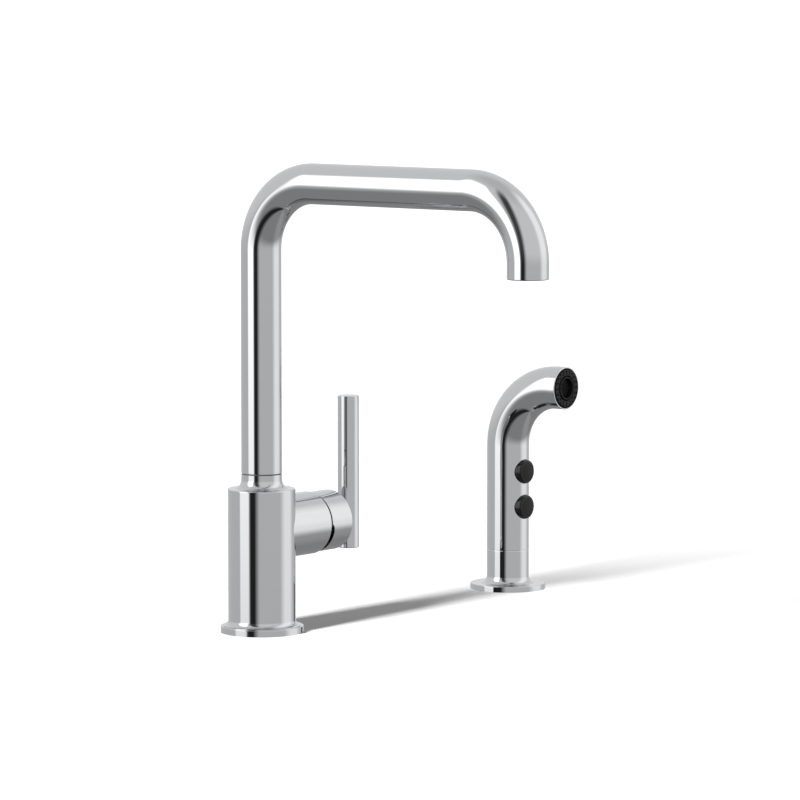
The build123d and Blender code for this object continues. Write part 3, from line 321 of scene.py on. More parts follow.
# Painted shade: a black laid on by depth behind a face, not by where light falls.
def shade_and_polish_behind(tree, shader, place, node, start, end, etched, shine):
    """Paints an etched colour black, between two depths behind a face, as painted shade, and sets its shine
    there.

    The face is the front of a CAD piece that looks along -Y. Returns the share of the painted shade, which
    the buttons' polish follows too."""
    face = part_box(node)[0].y
    depth = add(tree, "ShaderNodeSeparateXYZ", {"Vector": place})["Y"]
    shade_and_polish = add(tree, "ShaderNodeMapRange", {"Value": depth, "From Min": face + start,
                                              "From Max": face + end})[0]
    black = (*sizes("finish").polished, 1)
    mixed = add(tree, "ShaderNodeMix", {"Factor": shade_and_polish, 6: etched, 7: black}, data_type="RGBA")
    gloss = add(tree, "ShaderNodeMapRange", {"Value": shade_and_polish, "To Min": shine[0], "To Max": shine[1]})
    wire(tree, shader, {"Base Color": mixed[2], "Specular IOR Level": gloss[0]})
    return shade_and_polish


# Chrome plate: nickel and chrome on polished brass. Buffing leaves it mirror-bright, with a faint
# waviness a few millimetres long. Its hairlines are too fine to see and only soften the shine, so
# they are drawn as patches 0.4 mm across.
def chrome_plate():
    material, tree, shader, place = begin("chrome_plate_polished")
    waves = add(tree, "ShaderNodeTexNoise", {"Vector": place, "Scale": 1 / (9 * MM)})[0]
    hairlines = add(tree, "ShaderNodeTexNoise", {"Vector": place, "Scale": 1 / (0.4 * MM), "Detail": 4})[0]
    wire(tree, shader, {"Metallic": 1.0})
    surface(tree, shader, sizes("finish").chrome, spread=0.01, rough=(0.015, 0.04), relief=0.002 * MM,
            tone=waves, wear=hairlines)
    return material


# Satin chrome on the aerator's housing: plated over a blasted surface, so its shine is wide and
# grey. The blasting is finer than the grain of 0.25 mm that is drawn for it.
def satin_chrome():
    return grained("satin_chrome_plate", sizes("finish").satin, grain=0.25 * MM, detail=3, spread=0.05,
                   rough=(0.22, 0.34), relief=0.006 * MM, metallic=1.0)


# Brass, turned on a lathe and gone dull: rings of tool marks round the upright axis, drawn 0.3 mm
# apart, coarser than they are, so that they show; and a brown skin in patches. Its dark colour is
# partly painted shade, so that the brass seen in the gap at the lever's cap looks dark.
def turned_brass():
    material, tree, shader, place = begin("brass_turned")
    feed = 0.3 * MM            # one wave, which is pi / (10 * scale) long
    rings = add(tree, "ShaderNodeTexWave", {"Vector": place, "Scale": pi / (10 * feed), "Distortion": 0.4},
                wave_type="BANDS", bands_direction="Z")[1]
    skin = add(tree, "ShaderNodeTexNoise", {"Vector": place, "Scale": 1 / (6 * MM), "Detail": 3})[0]
    wire(tree, shader, {"Metallic": 1.0})
    surface(tree, shader, sizes("finish").brass, spread=0.12, rough=(0.22, 0.38), relief=0.01 * MM,
            tone=skin, bumps=rings)
    return material


# Stainless steel, stamped or drawn, then tumbled: a grey, fine-grained shine.
def tumbled_steel():
    return grained("stainless_steel_tumbled", sizes("finish").steel, grain=0.5 * MM, detail=4,
                   spread=0.08, rough=(0.24, 0.4), relief=0.004 * MM, metallic=1.0)


# ABS of the buttons, moulded in black. The tool is finely etched where it forms a button's face,
# which looks dull, and polished round it, so that the rim and the side carry a streak of light.
# The rim and the side are also a darker black than the face: partly the polish, partly painted shade.
def button_abs():
    material, tree, shader, place = begin("abs_black_etched")
    patches = add(tree, "ShaderNodeTexNoise", {"Vector": place, "Scale": 1 / (4 * MM)})[0]
    etching = add(tree, "ShaderNodeTexNoise", {"Vector": place, "Scale": 1 / (0.25 * MM), "Detail": 3})[0]
    etched, rough = surface(tree, shader, sizes("finish").black, spread=0.15, rough=(0.3, 0.44),
                            relief=0.003 * MM, tone=patches, wear=etching, bumps=etching)
    # Painted shade and polish: the rim and the side turn a darker black, with more shine.
    shade_and_polish = shade_and_polish_behind(tree, shader, place, "upper_button", start=0.35 * MM, end=0.65 * MM,
                           etched=etched, shine=(0.15, 0.36))
    smooth = 0.1
    worn = add(tree, "ShaderNodeMix", {"Factor": shade_and_polish, 2: rough, 3: smooth})
    wire(tree, shader, {"Roughness": worn[0]})
    return material


# ABS of the nozzle's face, etched more coarsely: a dull charcoal that hides water marks. The
# chamfer round it and the hollows in it and in the stream's ring are painted black, with less shine:
# painted shade.
def nozzle_abs():
    material, tree, shader, place = begin("abs_black_coarse")
    grain = add(tree, "ShaderNodeTexNoise", {"Vector": place, "Scale": 1 / (0.5 * MM), "Detail": 3})[0]
    etched = surface(tree, shader, sizes("finish").charcoal, spread=0.4, rough=(0.3, 0.6),
                     relief=0.03 * MM, tone=grain)[0]
    # Painted shade: the chamfer and the hollows turn black, with less shine.
    shade_and_polish_behind(tree, shader, place, "spray_face", start=0.04 * MM, end=0.25 * MM,
                  etched=etched, shine=(0.2, 0.05))
    return material


# EPDM rubber, moulded: near black and dull, with a faint bloom.
def rubber():
    return grained("rubber_epdm", sizes("finish").rubber, grain=2 * MM, detail=4, spread=0.3,
                   rough=(0.62, 0.8), relief=0.01 * MM)


# Acetal, turned from black rod: waxy, with a soft shine.
def acetal():
    return grained("acetal_turned", sizes("finish").acetal, grain=0.6 * MM, detail=3, spread=0.15,
                   rough=(0.35, 0.5), relief=0.005 * MM)


# Glass-filled nylon, moulded in dark grey: matt, with a fine fibre speckle. The grey is kept dark
# partly as painted shade, for the mouldings seen in the gap at the lever's cap.
def grey_nylon():
    return grained("nylon_glass_filled", sizes("finish").moulding, grain=0.6 * MM, detail=5,
                   spread=0.06, rough=(0.45, 0.6), relief=0.008 * MM, uneven=0.7)


# Alumina ceramic, fired and ground: white, smooth, with the faintest grain.
def ground_ceramic():
    return grained("alumina_ground", sizes("finish").ceramic, grain=0.8 * MM, detail=3, spread=0.03,
                   rough=(0.18, 0.26), relief=0.003 * MM)


# Polypropylene screens that shape the stream: moulded in near black, with hardly any shine. The
# black and the lack of shine are partly painted shade, for the depth of the stream's recess.
def dark_screen():
    return grained("polypropylene_dark", sizes("finish").screen, grain=1.5 * MM, detail=2,
                   spread=0.08, rough=(0.32, 0.45), relief=0.004 * MM, specular=0.06)


# Matt white paint on the deck, rolled: a faint speckle and no shine.
def deck_paint():
    return grained("paint_matt_white", sizes("finish").deck, grain=2 * MM, detail=3, spread=0.01,
                   rough=(0.75, 0.85), relief=0, specular=0.0)


FINISHES = {
    "chrome_plate": chrome_plate, "aerator_chrome": satin_chrome, "brass": turned_brass,
    "steel": tumbled_steel, "button_black": button_abs, "nozzle_black": nozzle_abs,
    "stream_black": nozzle_abs, "rubber": rubber, "bearing_plastic": acetal,
    "valve_plastic": grey_nylon, "ceramic": ground_ceramic, "screen_grey": dark_screen,
}
made = {}


def finish_of(slot):
    """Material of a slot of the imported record, made once."""
    maker = FINISHES[slot]
    if maker not in made:
        made[maker] = maker()
    return made[maker]


# ---- Modelling ---------------------------------------------------------------
def pick_up(*pieces):
    """Makes pieces the only ones selected, and the first of them active."""
    bpy.ops.object.select_all(action="DESELECT")
    for piece in pieces:
        piece.select_set(True)
    bpy.context.view_layer.objects.active = pieces[0]


def select_edges(picked):
    """Selects only the edges of the edited mesh that a test picks."""
    bpy.context.tool_settings.mesh_select_mode = (False, True, False)
    bpy.ops.mesh.select_all(action="DESELECT")
    mesh = bmesh.from_edit_mesh(bpy.context.object.data)
    found = [edge for edge in mesh.edges if picked(edge)]
    if not found:
        raise RuntimeError(f"no edge to select on {bpy.context.object.name}")
    for edge in found:
        edge.select_set(True)
    bmesh.update_edit_mesh(bpy.context.object.data)


def start_ring(name, radius, centre, axis, sides=SIDES["chrome"]):
    """Circle about an axis, selected and open in edit mode."""
    bpy.ops.object.select_all(action="DESELECT")
    bpy.ops.mesh.primitive_circle_add(vertices=sides, radius=radius, location=centre, rotation=FACING[axis])
    piece = bpy.context.object
    piece.name = piece.data.name = name
    bpy.ops.object.transform_apply()
    bpy.ops.object.mode_set(mode="EDIT")
    bpy.ops.mesh.select_all(action="SELECT")
    return piece


def with_holds(outline, spacing, hold=HOLD):
    """The outline with rings beside each corner, and rings along any stretch longer than a spacing."""
    full = [outline[0]]
    for (r0, s0), (r1, s1) in zip(outline, outline[1:]):
        span = sqrt((r1 - r0) ** 2 + (s1 - s0) ** 2)
        shares = [1.0]
        if span > SHORT * hold:
            count = max(1, ceil(span / spacing))
            shares = [hold / span] + [i / count for i in range(1, count)] + [1 - hold / span, 1.0]
        full += [(r0 + (r1 - r0) * share, s0 + (s1 - s0) * share) for share in shares]
    return full


def draw_out(centre, axis, outline):
    """Extrudes the selected ring along its axis through pairs of a radius and a station."""
    along = AXES[axis]
    centre = Vector(centre)
    for (r0, s0), (r1, s1) in zip(outline, outline[1:]):
        bpy.ops.mesh.extrude_region_move(TRANSFORM_OT_translate={"value": along * (s1 - s0)})
        if abs(r1 - r0) > EQUAL:
            bpy.ops.transform.resize(value=(r1 / r0,) * 3, center_override=centre + along * s1)


def bend_over(centre, steps):
    """Spins the selected ring a quarter turn about a centre: from up to -Y, or from -Y to down."""
    bpy.ops.mesh.spin(steps=steps, angle=pi / 2, center=centre, axis=(-1, 0, 0))


def arc(radius, station, size, start, end, steps=10):
    """Points of an arc in a turned outline; angles in degrees, 0 outward and 90 along the axis."""
    return [(radius + size * cos(radians(start + (end - start) * i / steps)),
             station + size * sin(radians(start + (end - start) * i / steps))) for i in range(steps + 1)]


def turned(name, outline, centre=(0, 0, 0), axis="Z", sides=SIDES["chrome"], spacing=UNBROKEN, ring=False):
    """Turned piece. A ring's outline comes back to its start; any other gets a flat end at both."""
    if ring:
        outline = outline + outline[:1]
    rows = with_holds(outline, spacing)
    piece = start_ring(name, rows[0][0], Vector(centre) + AXES[axis] * rows[0][1], axis, sides)
    draw_out(centre, axis, rows)
    if ring:
        bpy.ops.mesh.select_all(action="SELECT")
        bpy.ops.mesh.remove_doubles(threshold=MERGE)
    else:
        bpy.ops.mesh.edge_face_add()
        select_edges(lambda edge: edge.is_boundary)
        bpy.ops.mesh.edge_face_add()
    return complete(piece)


def rod(radius, start, end, centre=(0, 0, 0), axis="Z", sides=SIDES["small"]):
    """Plain cylinder."""
    return turned("rod", [(radius, start), (radius, end)], centre, axis, sides)


def complete(piece):
    """Closes an edit: faces outwards, smooth but for real edges."""
    bpy.ops.mesh.select_all(action="SELECT")
    bpy.ops.mesh.normals_make_consistent(inside=False)
    bpy.ops.object.mode_set(mode="OBJECT")
    bpy.ops.object.shade_smooth_by_angle(angle=SMOOTH_ANGLE)
    return piece


def copied(piece, shift):
    """Copy of a finished piece with its own mesh, moved."""
    pick_up(piece)
    bpy.ops.object.duplicate()
    bpy.ops.transform.translate(value=shift)
    bpy.ops.object.transform_apply()
    return bpy.context.object


def apply_modifier(piece, kind, **settings):
    """Adds a modifier and applies it."""
    pick_up(piece)
    modifier = piece.modifiers.new(kind.title(), kind)
    for name, value in settings.items():
        setattr(modifier, name, value)
    bpy.ops.object.modifier_apply(modifier=modifier.name)


def combine(piece, other, operation):
    """Joins another solid to a piece, or cuts it out, and removes it."""
    apply_modifier(piece, "BOOLEAN", operation=operation, object=other, solver="EXACT")
    bpy.data.objects.remove(other)
    bpy.ops.object.mode_set(mode="EDIT")
    bpy.ops.mesh.select_all(action="SELECT")
    bpy.ops.mesh.remove_doubles(threshold=MERGE)
    complete(piece)


def soften(piece, size, picked):
    """Rounds the sharp edges of a piece whose two ends both pass a test."""
    pick_up(piece)
    bpy.ops.object.mode_set(mode="EDIT")
    select_edges(lambda edge: edge.calc_face_angle(0) > SHARP and all(picked(v.co) for v in edge.verts))
    bpy.ops.mesh.bevel(offset=size, segments=ROUND_STEPS, affect="EDGES")
    complete(piece)


def grooved(bore, outside, gasket_radius, gasket_top):
    """Outline of a flange's underside, from its bore outwards, with the groove for its gasket."""
    inner = gasket_radius - sizes("body").gasket_width
    groove = gasket_top + sizes("body").gasket_room
    return [(bore, 0), (inner, 0), (inner, groove), (gasket_radius, groove), (gasket_radius, 0),
            (outside, 0)]


def hand_over(piece, slot, node, body):
    """Gives a finished piece its material, and its place in the frame."""
    piece.data.materials.clear()
    piece.data.materials.append(finish_of(slot))
    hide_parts(node)
    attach(piece, body)


# ---- Pieces ------------------------------------------------------------------
class FAUCET_OT_spout(Operator):
    """Tube bent twice, drawn from a circle and then given its wall"""
    bl_idname = "faucet.spout"
    bl_label = "Spout"

    def execute(self, context):
        size = sizes("spout")
        low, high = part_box("spout_tube")
        radius = high.x
        reach = -low.y - radius
        crown = high.z - radius
        bend_end = crown - size.bend
        piece = start_ring("spout", radius, (0, 0, low.z), "Z")
        upright = [(radius, low.z), (radius, bend_end)]
        level = [(radius, -size.bend), (radius, size.bend - reach)]
        outlet = [(radius, bend_end), (radius, bend_end - size.drop)]
        draw_out((0, 0, 0), "Z", with_holds(upright, STRETCH, size.end_hold))
        bend_over((0, -size.bend, bend_end), BEND_STEPS["spout"])
        draw_out((0, 0, crown), "Y", with_holds(level, STRETCH))
        bend_over((0, size.bend - reach, bend_end), BEND_STEPS["spout"])
        draw_out((0, -reach, 0), "Z", with_holds(outlet, STRETCH, size.end_hold))
        complete(piece)
        apply_modifier(piece, "SOLIDIFY", thickness=size.wall, offset=-1.0, use_even_offset=True)
        soften(piece, size.foot_round, lambda corner: corner.y > -radius - MM)
        soften(piece, size.outlet_round, lambda corner: corner.y < -radius - MM)
        hand_over(piece, "chrome_plate", "spout_tube", "spout")
        return {"FINISHED"}


class FAUCET_OT_body(Operator):
    """Turned body with its neck and foot, the lever's hub at its side, and the bores inside"""
    bl_idname = "faucet.body"
    bl_label = "Body"

    def execute(self, context):
        size = sizes("body")
        low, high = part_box("faucet_body")
        bottom, top, reach = low.z, high.z, high.x
        axis = (0, 0, size.height - size.hub_below_top)
        chamber_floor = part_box("diverter_body")[0].z
        chamber_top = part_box("spout_spigot")[0].z - size.chamber_gap
        foot = size.radius + size.foot_cove
        land = bottom + size.foot_land
        edge, cove = size.edge, size.neck_cove
        outline = [(size.shank_bore, bottom + size.shank_depth), (size.shank_bore, bottom),
                   (foot, bottom), (foot, land)]
        outline += arc(foot, land + size.foot_cove, size.foot_cove, 270, 180, steps=14)
        outline += arc(size.radius - edge, size.height - edge, edge, 0, 90)
        outline += arc(size.neck_radius + cove, size.height + cove, cove, 270, 180, steps=18)
        outline += [(size.neck_radius, top), (size.neck_bore, top), (size.neck_bore, chamber_top),
                    (size.chamber, chamber_top), (size.chamber, chamber_floor)]
        piece = turned("body", outline, sides=SIDES["body"])
        hub = [(size.hub_radius, size.hub_root), (size.hub_radius, reach - edge),
               (size.hub_radius - edge, reach)]
        combine(piece, turned("hub", hub, axis, "X", SIDES["body"]), "UNION")
        bore = [(size.cartridge_radius, size.cartridge_floor), (size.cartridge_radius, size.hub_step),
                (size.hub_bore, size.hub_step), (size.hub_bore, reach + PAST)]
        combine(piece, turned("bore", bore, axis, "X"), "DIFFERENCE")
        hand_over(piece, "chrome_plate", "faucet_body", "faucet")
        return {"FINISHED"}


class FAUCET_OT_flange(Operator):
    """Round flange under the body, grooved below for its gasket"""
    bl_idname = "faucet.flange"
    bl_label = "Deck Flange"

    def execute(self, context):
        size = sizes("body")
        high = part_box("base_flange")[1]
        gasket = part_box("base_gasket")[1]
        edge = size.edge / 2
        outline = grooved(size.shank_bore, high.x, gasket.x, gasket.z)
        outline += arc(high.x - edge, high.z - edge, edge, 0, 90, steps=8)
        outline += [(size.shank_bore, high.z)]
        piece = turned("deck_flange", outline, ring=True)
        hand_over(piece, "chrome_plate", "base_flange", "faucet")
        return {"FINISHED"}


class FAUCET_OT_lever(Operator):
    """Cup-shaped cap on the hub, upright stick, and the spacer between them"""
    bl_idname = "faucet.lever"
    bl_label = "Lever"

    def execute(self, context):
        size = sizes("lever")
        low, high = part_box("handle_cap")
        axis = (0, 0, (low.z + high.z) / 2)
        radius = (high.z - low.z) / 2
        inside, cavity = high.x - size.cap_end, radius - size.cap_wall
        edge, rim_round = size.cap_edge, size.rim_round
        rim = low.x + size.rim_step
        outline = [(size.boss_radius, low.x + size.boss_set_back), (size.boss_radius, inside),
                   (cavity, inside), (cavity, rim)]
        outline += arc(radius - rim_round, rim + rim_round, rim_round, 270, 360, steps=8)
        outline += arc(radius - edge, high.x - edge, edge, 0, 90)
        cap = turned("lever_cap", outline, axis, "X", SIDES["cap"])
        combine(cap, self.rim_block(size, low, axis, radius), "DIFFERENCE")
        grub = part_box("handle_set_screw")
        key = rod(size.key_hole, low.z - PAST, axis[2] - cavity + 2 * PAST,
                  ((grub[0].x + grub[1].x) / 2, 0, 0))
        combine(cap, key, "DIFFERENCE")
        hand_over(cap, "chrome_plate", "handle_cap", "handle")

        low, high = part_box("handle_stick")
        middle = ((low.x + high.x) / 2, 0, 0)
        stick_radius = (high.x - low.x) / 2
        edge = size.stick_edge
        outline = arc(stick_radius - edge, low.z + edge, edge, 270, 360, steps=8)
        outline += arc(stick_radius - edge, high.z - edge, edge, 0, 90, steps=8)
        stick = turned("lever_stick", outline, middle, "Z", SIDES["medium"], STRETCH)
        hand_over(stick, "chrome_plate", "handle_stick", "handle")

        low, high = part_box("handle_neck")
        radius = (high.z - low.z) / 2
        spacer = rod(radius, low.x, middle[0], axis, "X", SIDES["medium"])
        hollow = rod(stick_radius, axis[2] - 2 * radius, axis[2] + 2 * radius, middle, "Z", SIDES["medium"])
        combine(spacer, hollow, "DIFFERENCE")
        spacer.name = spacer.data.name = "lever_spacer"
        hand_over(spacer, "chrome_plate", "handle_neck", "handle")
        return {"FINISHED"}

    def rim_block(self, size, low, axis, radius):
        """Block that sets the cap's rim back below the hub's axis, along a curve.

        It is squashed first, so that the round on its edge grows to the cut's height as it stretches."""
        end = low.x + size.rim_cut
        depth = size.rim_cut - size.rim_step
        squash = depth / size.cut_height
        bpy.ops.object.select_all(action="DESELECT")
        place = (end - radius, 0, axis[2] - radius * squash)
        bpy.ops.mesh.primitive_cube_add(size=2 * radius, location=place)
        block = bpy.context.object
        bpy.ops.object.mode_set(mode="EDIT")
        bpy.ops.transform.resize(value=(1, BLOCK_WIDTH, squash))
        select_edges(lambda edge: all(v.co.x > 0 and v.co.z > 0 for v in edge.verts))
        bpy.ops.mesh.bevel(offset=depth, segments=BLOCK_STEPS, affect="EDGES")
        bpy.ops.mesh.select_all(action="SELECT")
        bpy.ops.transform.resize(value=(1, 1, 1 / squash), center_override=axis)
        bpy.ops.object.mode_set(mode="OBJECT")
        bpy.ops.object.transform_apply()
        return block


class FAUCET_OT_holder(Operator):
    """Turned holder that the spray stands on"""
    bl_idname = "faucet.holder"
    bl_label = "Spray Holder"

    def execute(self, context):
        size = sizes("spray")
        low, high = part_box("spray_holder")
        middle = ((low.x + high.x) / 2, 0, 0)
        flange_radius = (high.x - low.x) / 2
        gasket_low, gasket_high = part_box("holder_gasket")
        edge = size.edge
        outline = grooved(size.shank_bore, flange_radius, (gasket_high.x - gasket_low.x) / 2, gasket_high.z)
        outline += arc(flange_radius - edge, size.flange - edge, edge, 0, 90, steps=8)
        outline += arc(size.radius + size.cove, size.flange + size.cove, size.cove, 270, 180, steps=16)
        top, lip = high.z + size.seam_rise, high.z - size.lip_depth
        bore, step = size.bush_bore, size.bush_bore + size.lip_width
        outline += [(size.radius, top - size.seam_height), (size.radius - size.seam_depth, top),
                    (step, top), (step, lip), (bore, lip), (bore, size.shank_depth),
                    (size.shank_bore, size.shank_depth)]
        piece = turned("spray_holder_turned", outline, middle, ring=True)
        hand_over(piece, "chrome_plate", "spray_holder", "faucet")
        return {"FINISHED"}


class FAUCET_OT_spray(Operator):
    """Bent shell of the spray, with a hole for each button and a seat for the nozzle's face"""
    bl_idname = "faucet.spray"
    bl_label = "Spray Shell"

    def execute(self, context):
        size = sizes("spray")
        low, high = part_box("spray_shell")
        x = (low.x + high.x) / 2
        crown = high.z - size.radius
        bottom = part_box("spray_holder")[1].z + size.seam_rise + size.seam_gap
        bend_end = crown - size.bend
        end = low.y + size.rim_back
        upright = [(size.radius, bottom), (size.radius, bend_end)]
        nose = [(size.radius, -size.bend), (size.radius, end)]
        piece = start_ring("spray_body", size.radius, (x, 0, bottom), "Z", SIDES["spray"])
        draw_out((x, 0, 0), "Z", with_holds(upright, SPRAY_STRETCH))
        bend_over((x, -size.bend, bend_end), BEND_STEPS["spray"])
        draw_out((x, 0, crown), "Y", with_holds(nose, NOSE_STRETCH, NOSE_HOLD))
        complete(piece)
        apply_modifier(piece, "SOLIDIFY", thickness=size.wall, offset=-1.0, use_even_offset=True)
        soften(piece, size.rim_round, lambda corner: corner.y < end + MERGE)
        seat = rod(size.radius - size.rim_wall, low.y - PAST, low.y + sizes("nozzle").face_depth,
                   (x, 0, crown), "Y", SIDES["spray"])
        combine(piece, seat, "DIFFERENCE")
        for node in ("upper_button", "lower_button"):
            button_low, button_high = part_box(node)
            button_radius = (button_high.z - button_low.z) / 2
            hole = rod(button_radius + size.button_gap, -size.radius - PAST, -size.hole_end,
                       (x, 0, (button_low.z + button_high.z) / 2), "Y", SIDES["medium"])
            combine(piece, hole, "DIFFERENCE")
        hand_over(piece, "chrome_plate", "spray_shell", "spray")
        return {"FINISHED"}


class FAUCET_OT_buttons(Operator):
    """Black push buttons: a domed face with a soft edge, a skirt and a stem; the second is a copy"""
    bl_idname = "faucet.buttons"
    bl_label = "Buttons"

    def execute(self, context):
        size = sizes("spray")
        low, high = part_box("upper_button")
        radius = (high.x - low.x) / 2
        middle = ((low.x + high.x) / 2, 0, (low.z + high.z) / 2)
        face = low.y
        skirt = face + size.button_skirt
        bevel = size.button_bevel
        rim = radius - bevel
        dome = (rim ** 2 + size.button_dome ** 2) / (2 * size.button_dome)
        spread = degrees(asin(rim / dome))
        outline = [(size.button_stem, high.y), (size.button_stem, skirt), (radius, skirt)]
        outline += arc(rim, face + size.button_dome + bevel, bevel, 0, -90, steps=8)
        outline += arc(0, face + dome, dome, 270 + spread, 270, steps=14)[1:-1]
        outline = [(r, station) for r, station in outline if r > size.button_flat]
        upper = turned("button_upper", outline, middle, "Y", SIDES["small"])
        lower = copied(upper, (0, 0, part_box("lower_button")[0].z - low.z))
        lower.name = lower.data.name = "button_lower"
        hand_over(upper, "button_black", "upper_button", "upper_push")
        hand_over(lower, "button_black", "lower_button", "lower_push")
        return {"FINISHED"}


class FAUCET_OT_nozzle(Operator):
    """Black face with two rings of jets, and the raised ring round the stream"""
    bl_idname = "faucet.nozzle"
    bl_label = "Nozzle"

    def execute(self, context):
        shell, size = sizes("spray"), sizes("nozzle")
        low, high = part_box("spray_face")
        ring_low, ring_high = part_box("stream_ring")
        middle = ((low.x + high.x) / 2, 0, (low.z + high.z) / 2)
        outer = (ring_high.x - ring_low.x) / 2
        opening = outer + size.face_fit
        radius = shell.radius - shell.rim_wall - size.face_fit
        spigot = shell.radius - shell.wall - size.face_fit
        front, back = low.y, high.y
        shoulder = front + size.face_depth
        edge = size.face_round
        outline = [(opening, back), (spigot, back), (spigot, shoulder), (radius, shoulder),
                   (radius, front + size.chamfer_depth), (radius - size.chamfer_width, front)]
        outline += arc(opening + edge, front + edge, edge, 270, 180, steps=6)
        face = turned("nozzle_face", outline, middle, "Y", SIDES["nozzle"], ring=True)
        bore = [(size.jet_bottom, front + size.jet_depth), (size.jet_radius, front + size.jet_flare),
                (size.jet_mouth, front - size.jet_off)]
        jet = turned("jet", bore, middle, "Y", SIDES["jet"])
        jets = []
        for count, reach in ((size.jets_inside, size.jet_inner), (size.jets_outside, size.jet_outer)):
            for turn in (2 * pi * i / count for i in range(count)):
                jets.append(copied(jet, (reach * cos(turn), 0, reach * sin(turn))))
        bpy.data.objects.remove(jet)
        pick_up(*jets)
        bpy.ops.object.join()
        combine(face, jets[0], "DIFFERENCE")
        hand_over(face, "nozzle_black", "spray_face", "spray")

        wall, lip = size.lip_wall, size.lip_round
        floor = front + size.groove_depth
        raised = outer - size.groove_width
        outline = [(raised - wall, ring_high.y), (outer, ring_high.y), (outer, floor), (raised, floor)]
        outline += arc(raised - lip, ring_low.y + lip, lip, 0, -90, steps=6)
        outline += arc(raised - wall + lip, ring_low.y + lip, lip, 270, 180, steps=6)
        ring = turned("stream_lip", outline, middle, "Y", SIDES["nozzle"], ring=True)
        hand_over(ring, "stream_black", "stream_ring", "spray")
        return {"FINISHED"}


class FAUCET_OT_finish_rest(Operator):
    """Gives the CAD pieces that stay as they are the finish of their slot"""
    bl_idname = "faucet.finish_rest"
    bl_label = "Finish Inner Pieces"

    def execute(self, context):
        for part in frame["record"]["subparts"]:
            node = frame["nodes"][part["node"]]
            for slot in node.material_slots:
                slot.material = finish_of(part["material_slot"])
        return {"FINISHED"}


# ---- Stage -------------------------------------------------------------------
# What the chrome mirrors, as greys that it shows: a plain studio. Its walls have one
# grey all round, but for a black flag near 188 degrees from +X and a lit wall near 315. The softbox
# stands near 155.
def studio(wall, flag, lit):
    """Greys round the horizon, by direction in degrees from +X."""
    return [(0, wall), (170, wall), (182, flag), (196, flag), (212, wall),
            (285, wall), (305, lit), (330, lit), (350, wall), (360, wall)]


DECK = studio(wall=120, flag=30, lit=140)       # the dark deck below
HORIZON = studio(wall=170, flag=30, lit=220)    # the walls near the horizon
WALLS = studio(wall=190, flag=60, lit=230)      # the same walls above it
CEILING = [(0, 172), (360, 172)]
# Upwards, each with the degrees above the horizon between which it takes over from the one before
ROOM = ((DECK, None, None), (HORIZON, -25, -6), (WALLS, -6, 9), (CEILING, 50, 78))
ROOM_LIGHT = 2.0               # strength that the greys above are shares of
CHROME_SHARE = 0.6             # of the light that chrome gives back
FILL, BACKDROP = 0.22, 1.3     # light in the shadows, and behind the faucet

# The softbox in the mirrored room, in degrees: its middle, how far it leans for each degree up, its
# half sizes and how square they make its corners, the shares of them at which its light ends and is
# full, and the degrees up between which it comes out from behind the deck.
SOFTBOX = {"turn": 156.0, "rise": 15, "lean": -0.3, "half_width": 18.2, "half_height": 38,
           "corner": 6.0, "ends": 1.13, "full": 0.83, "hidden": -16, "clear": 1, "light": 1.0}

# The lamp that casts the long shadow: a panel far off along -X. Metres, degrees and watts.
KEY = {"distance": 40.0, "rise": 27.5, "aside": -0.4, "length": 21.4, "width": 5.6, "power": 37800}
# The bodies that cast it, without the spray's holder: the photo shows no shadow of the spray.
SHADED_BY = {"faucet", "spout", "handle"}

# Fitted to the photo together with the sizes: metres, radians, and millimetres for lens and film
CAMERA = {"place": (-2.3693, -1.99098, 0.45737), "down": 0.0975, "turn": -0.9016,
          "lens": 211.17, "film": 36}

FLOOR_RADIUS = 2.2             # wider than the picture
# The sleeves are painted shade below the deck, seen only in the chrome.
SHADE_SLEEVE = {"gap": 4 * MM, "below": 0.5 * MM, "length": 60 * MM}    # round a washer, and from the deck down


def mirrored(level):
    """Share of the room's light that chrome shows as a grey from 0 to 255."""
    return linear(f"#{level:02X}0000")[0] / CHROME_SHARE / ROOM_LIGHT


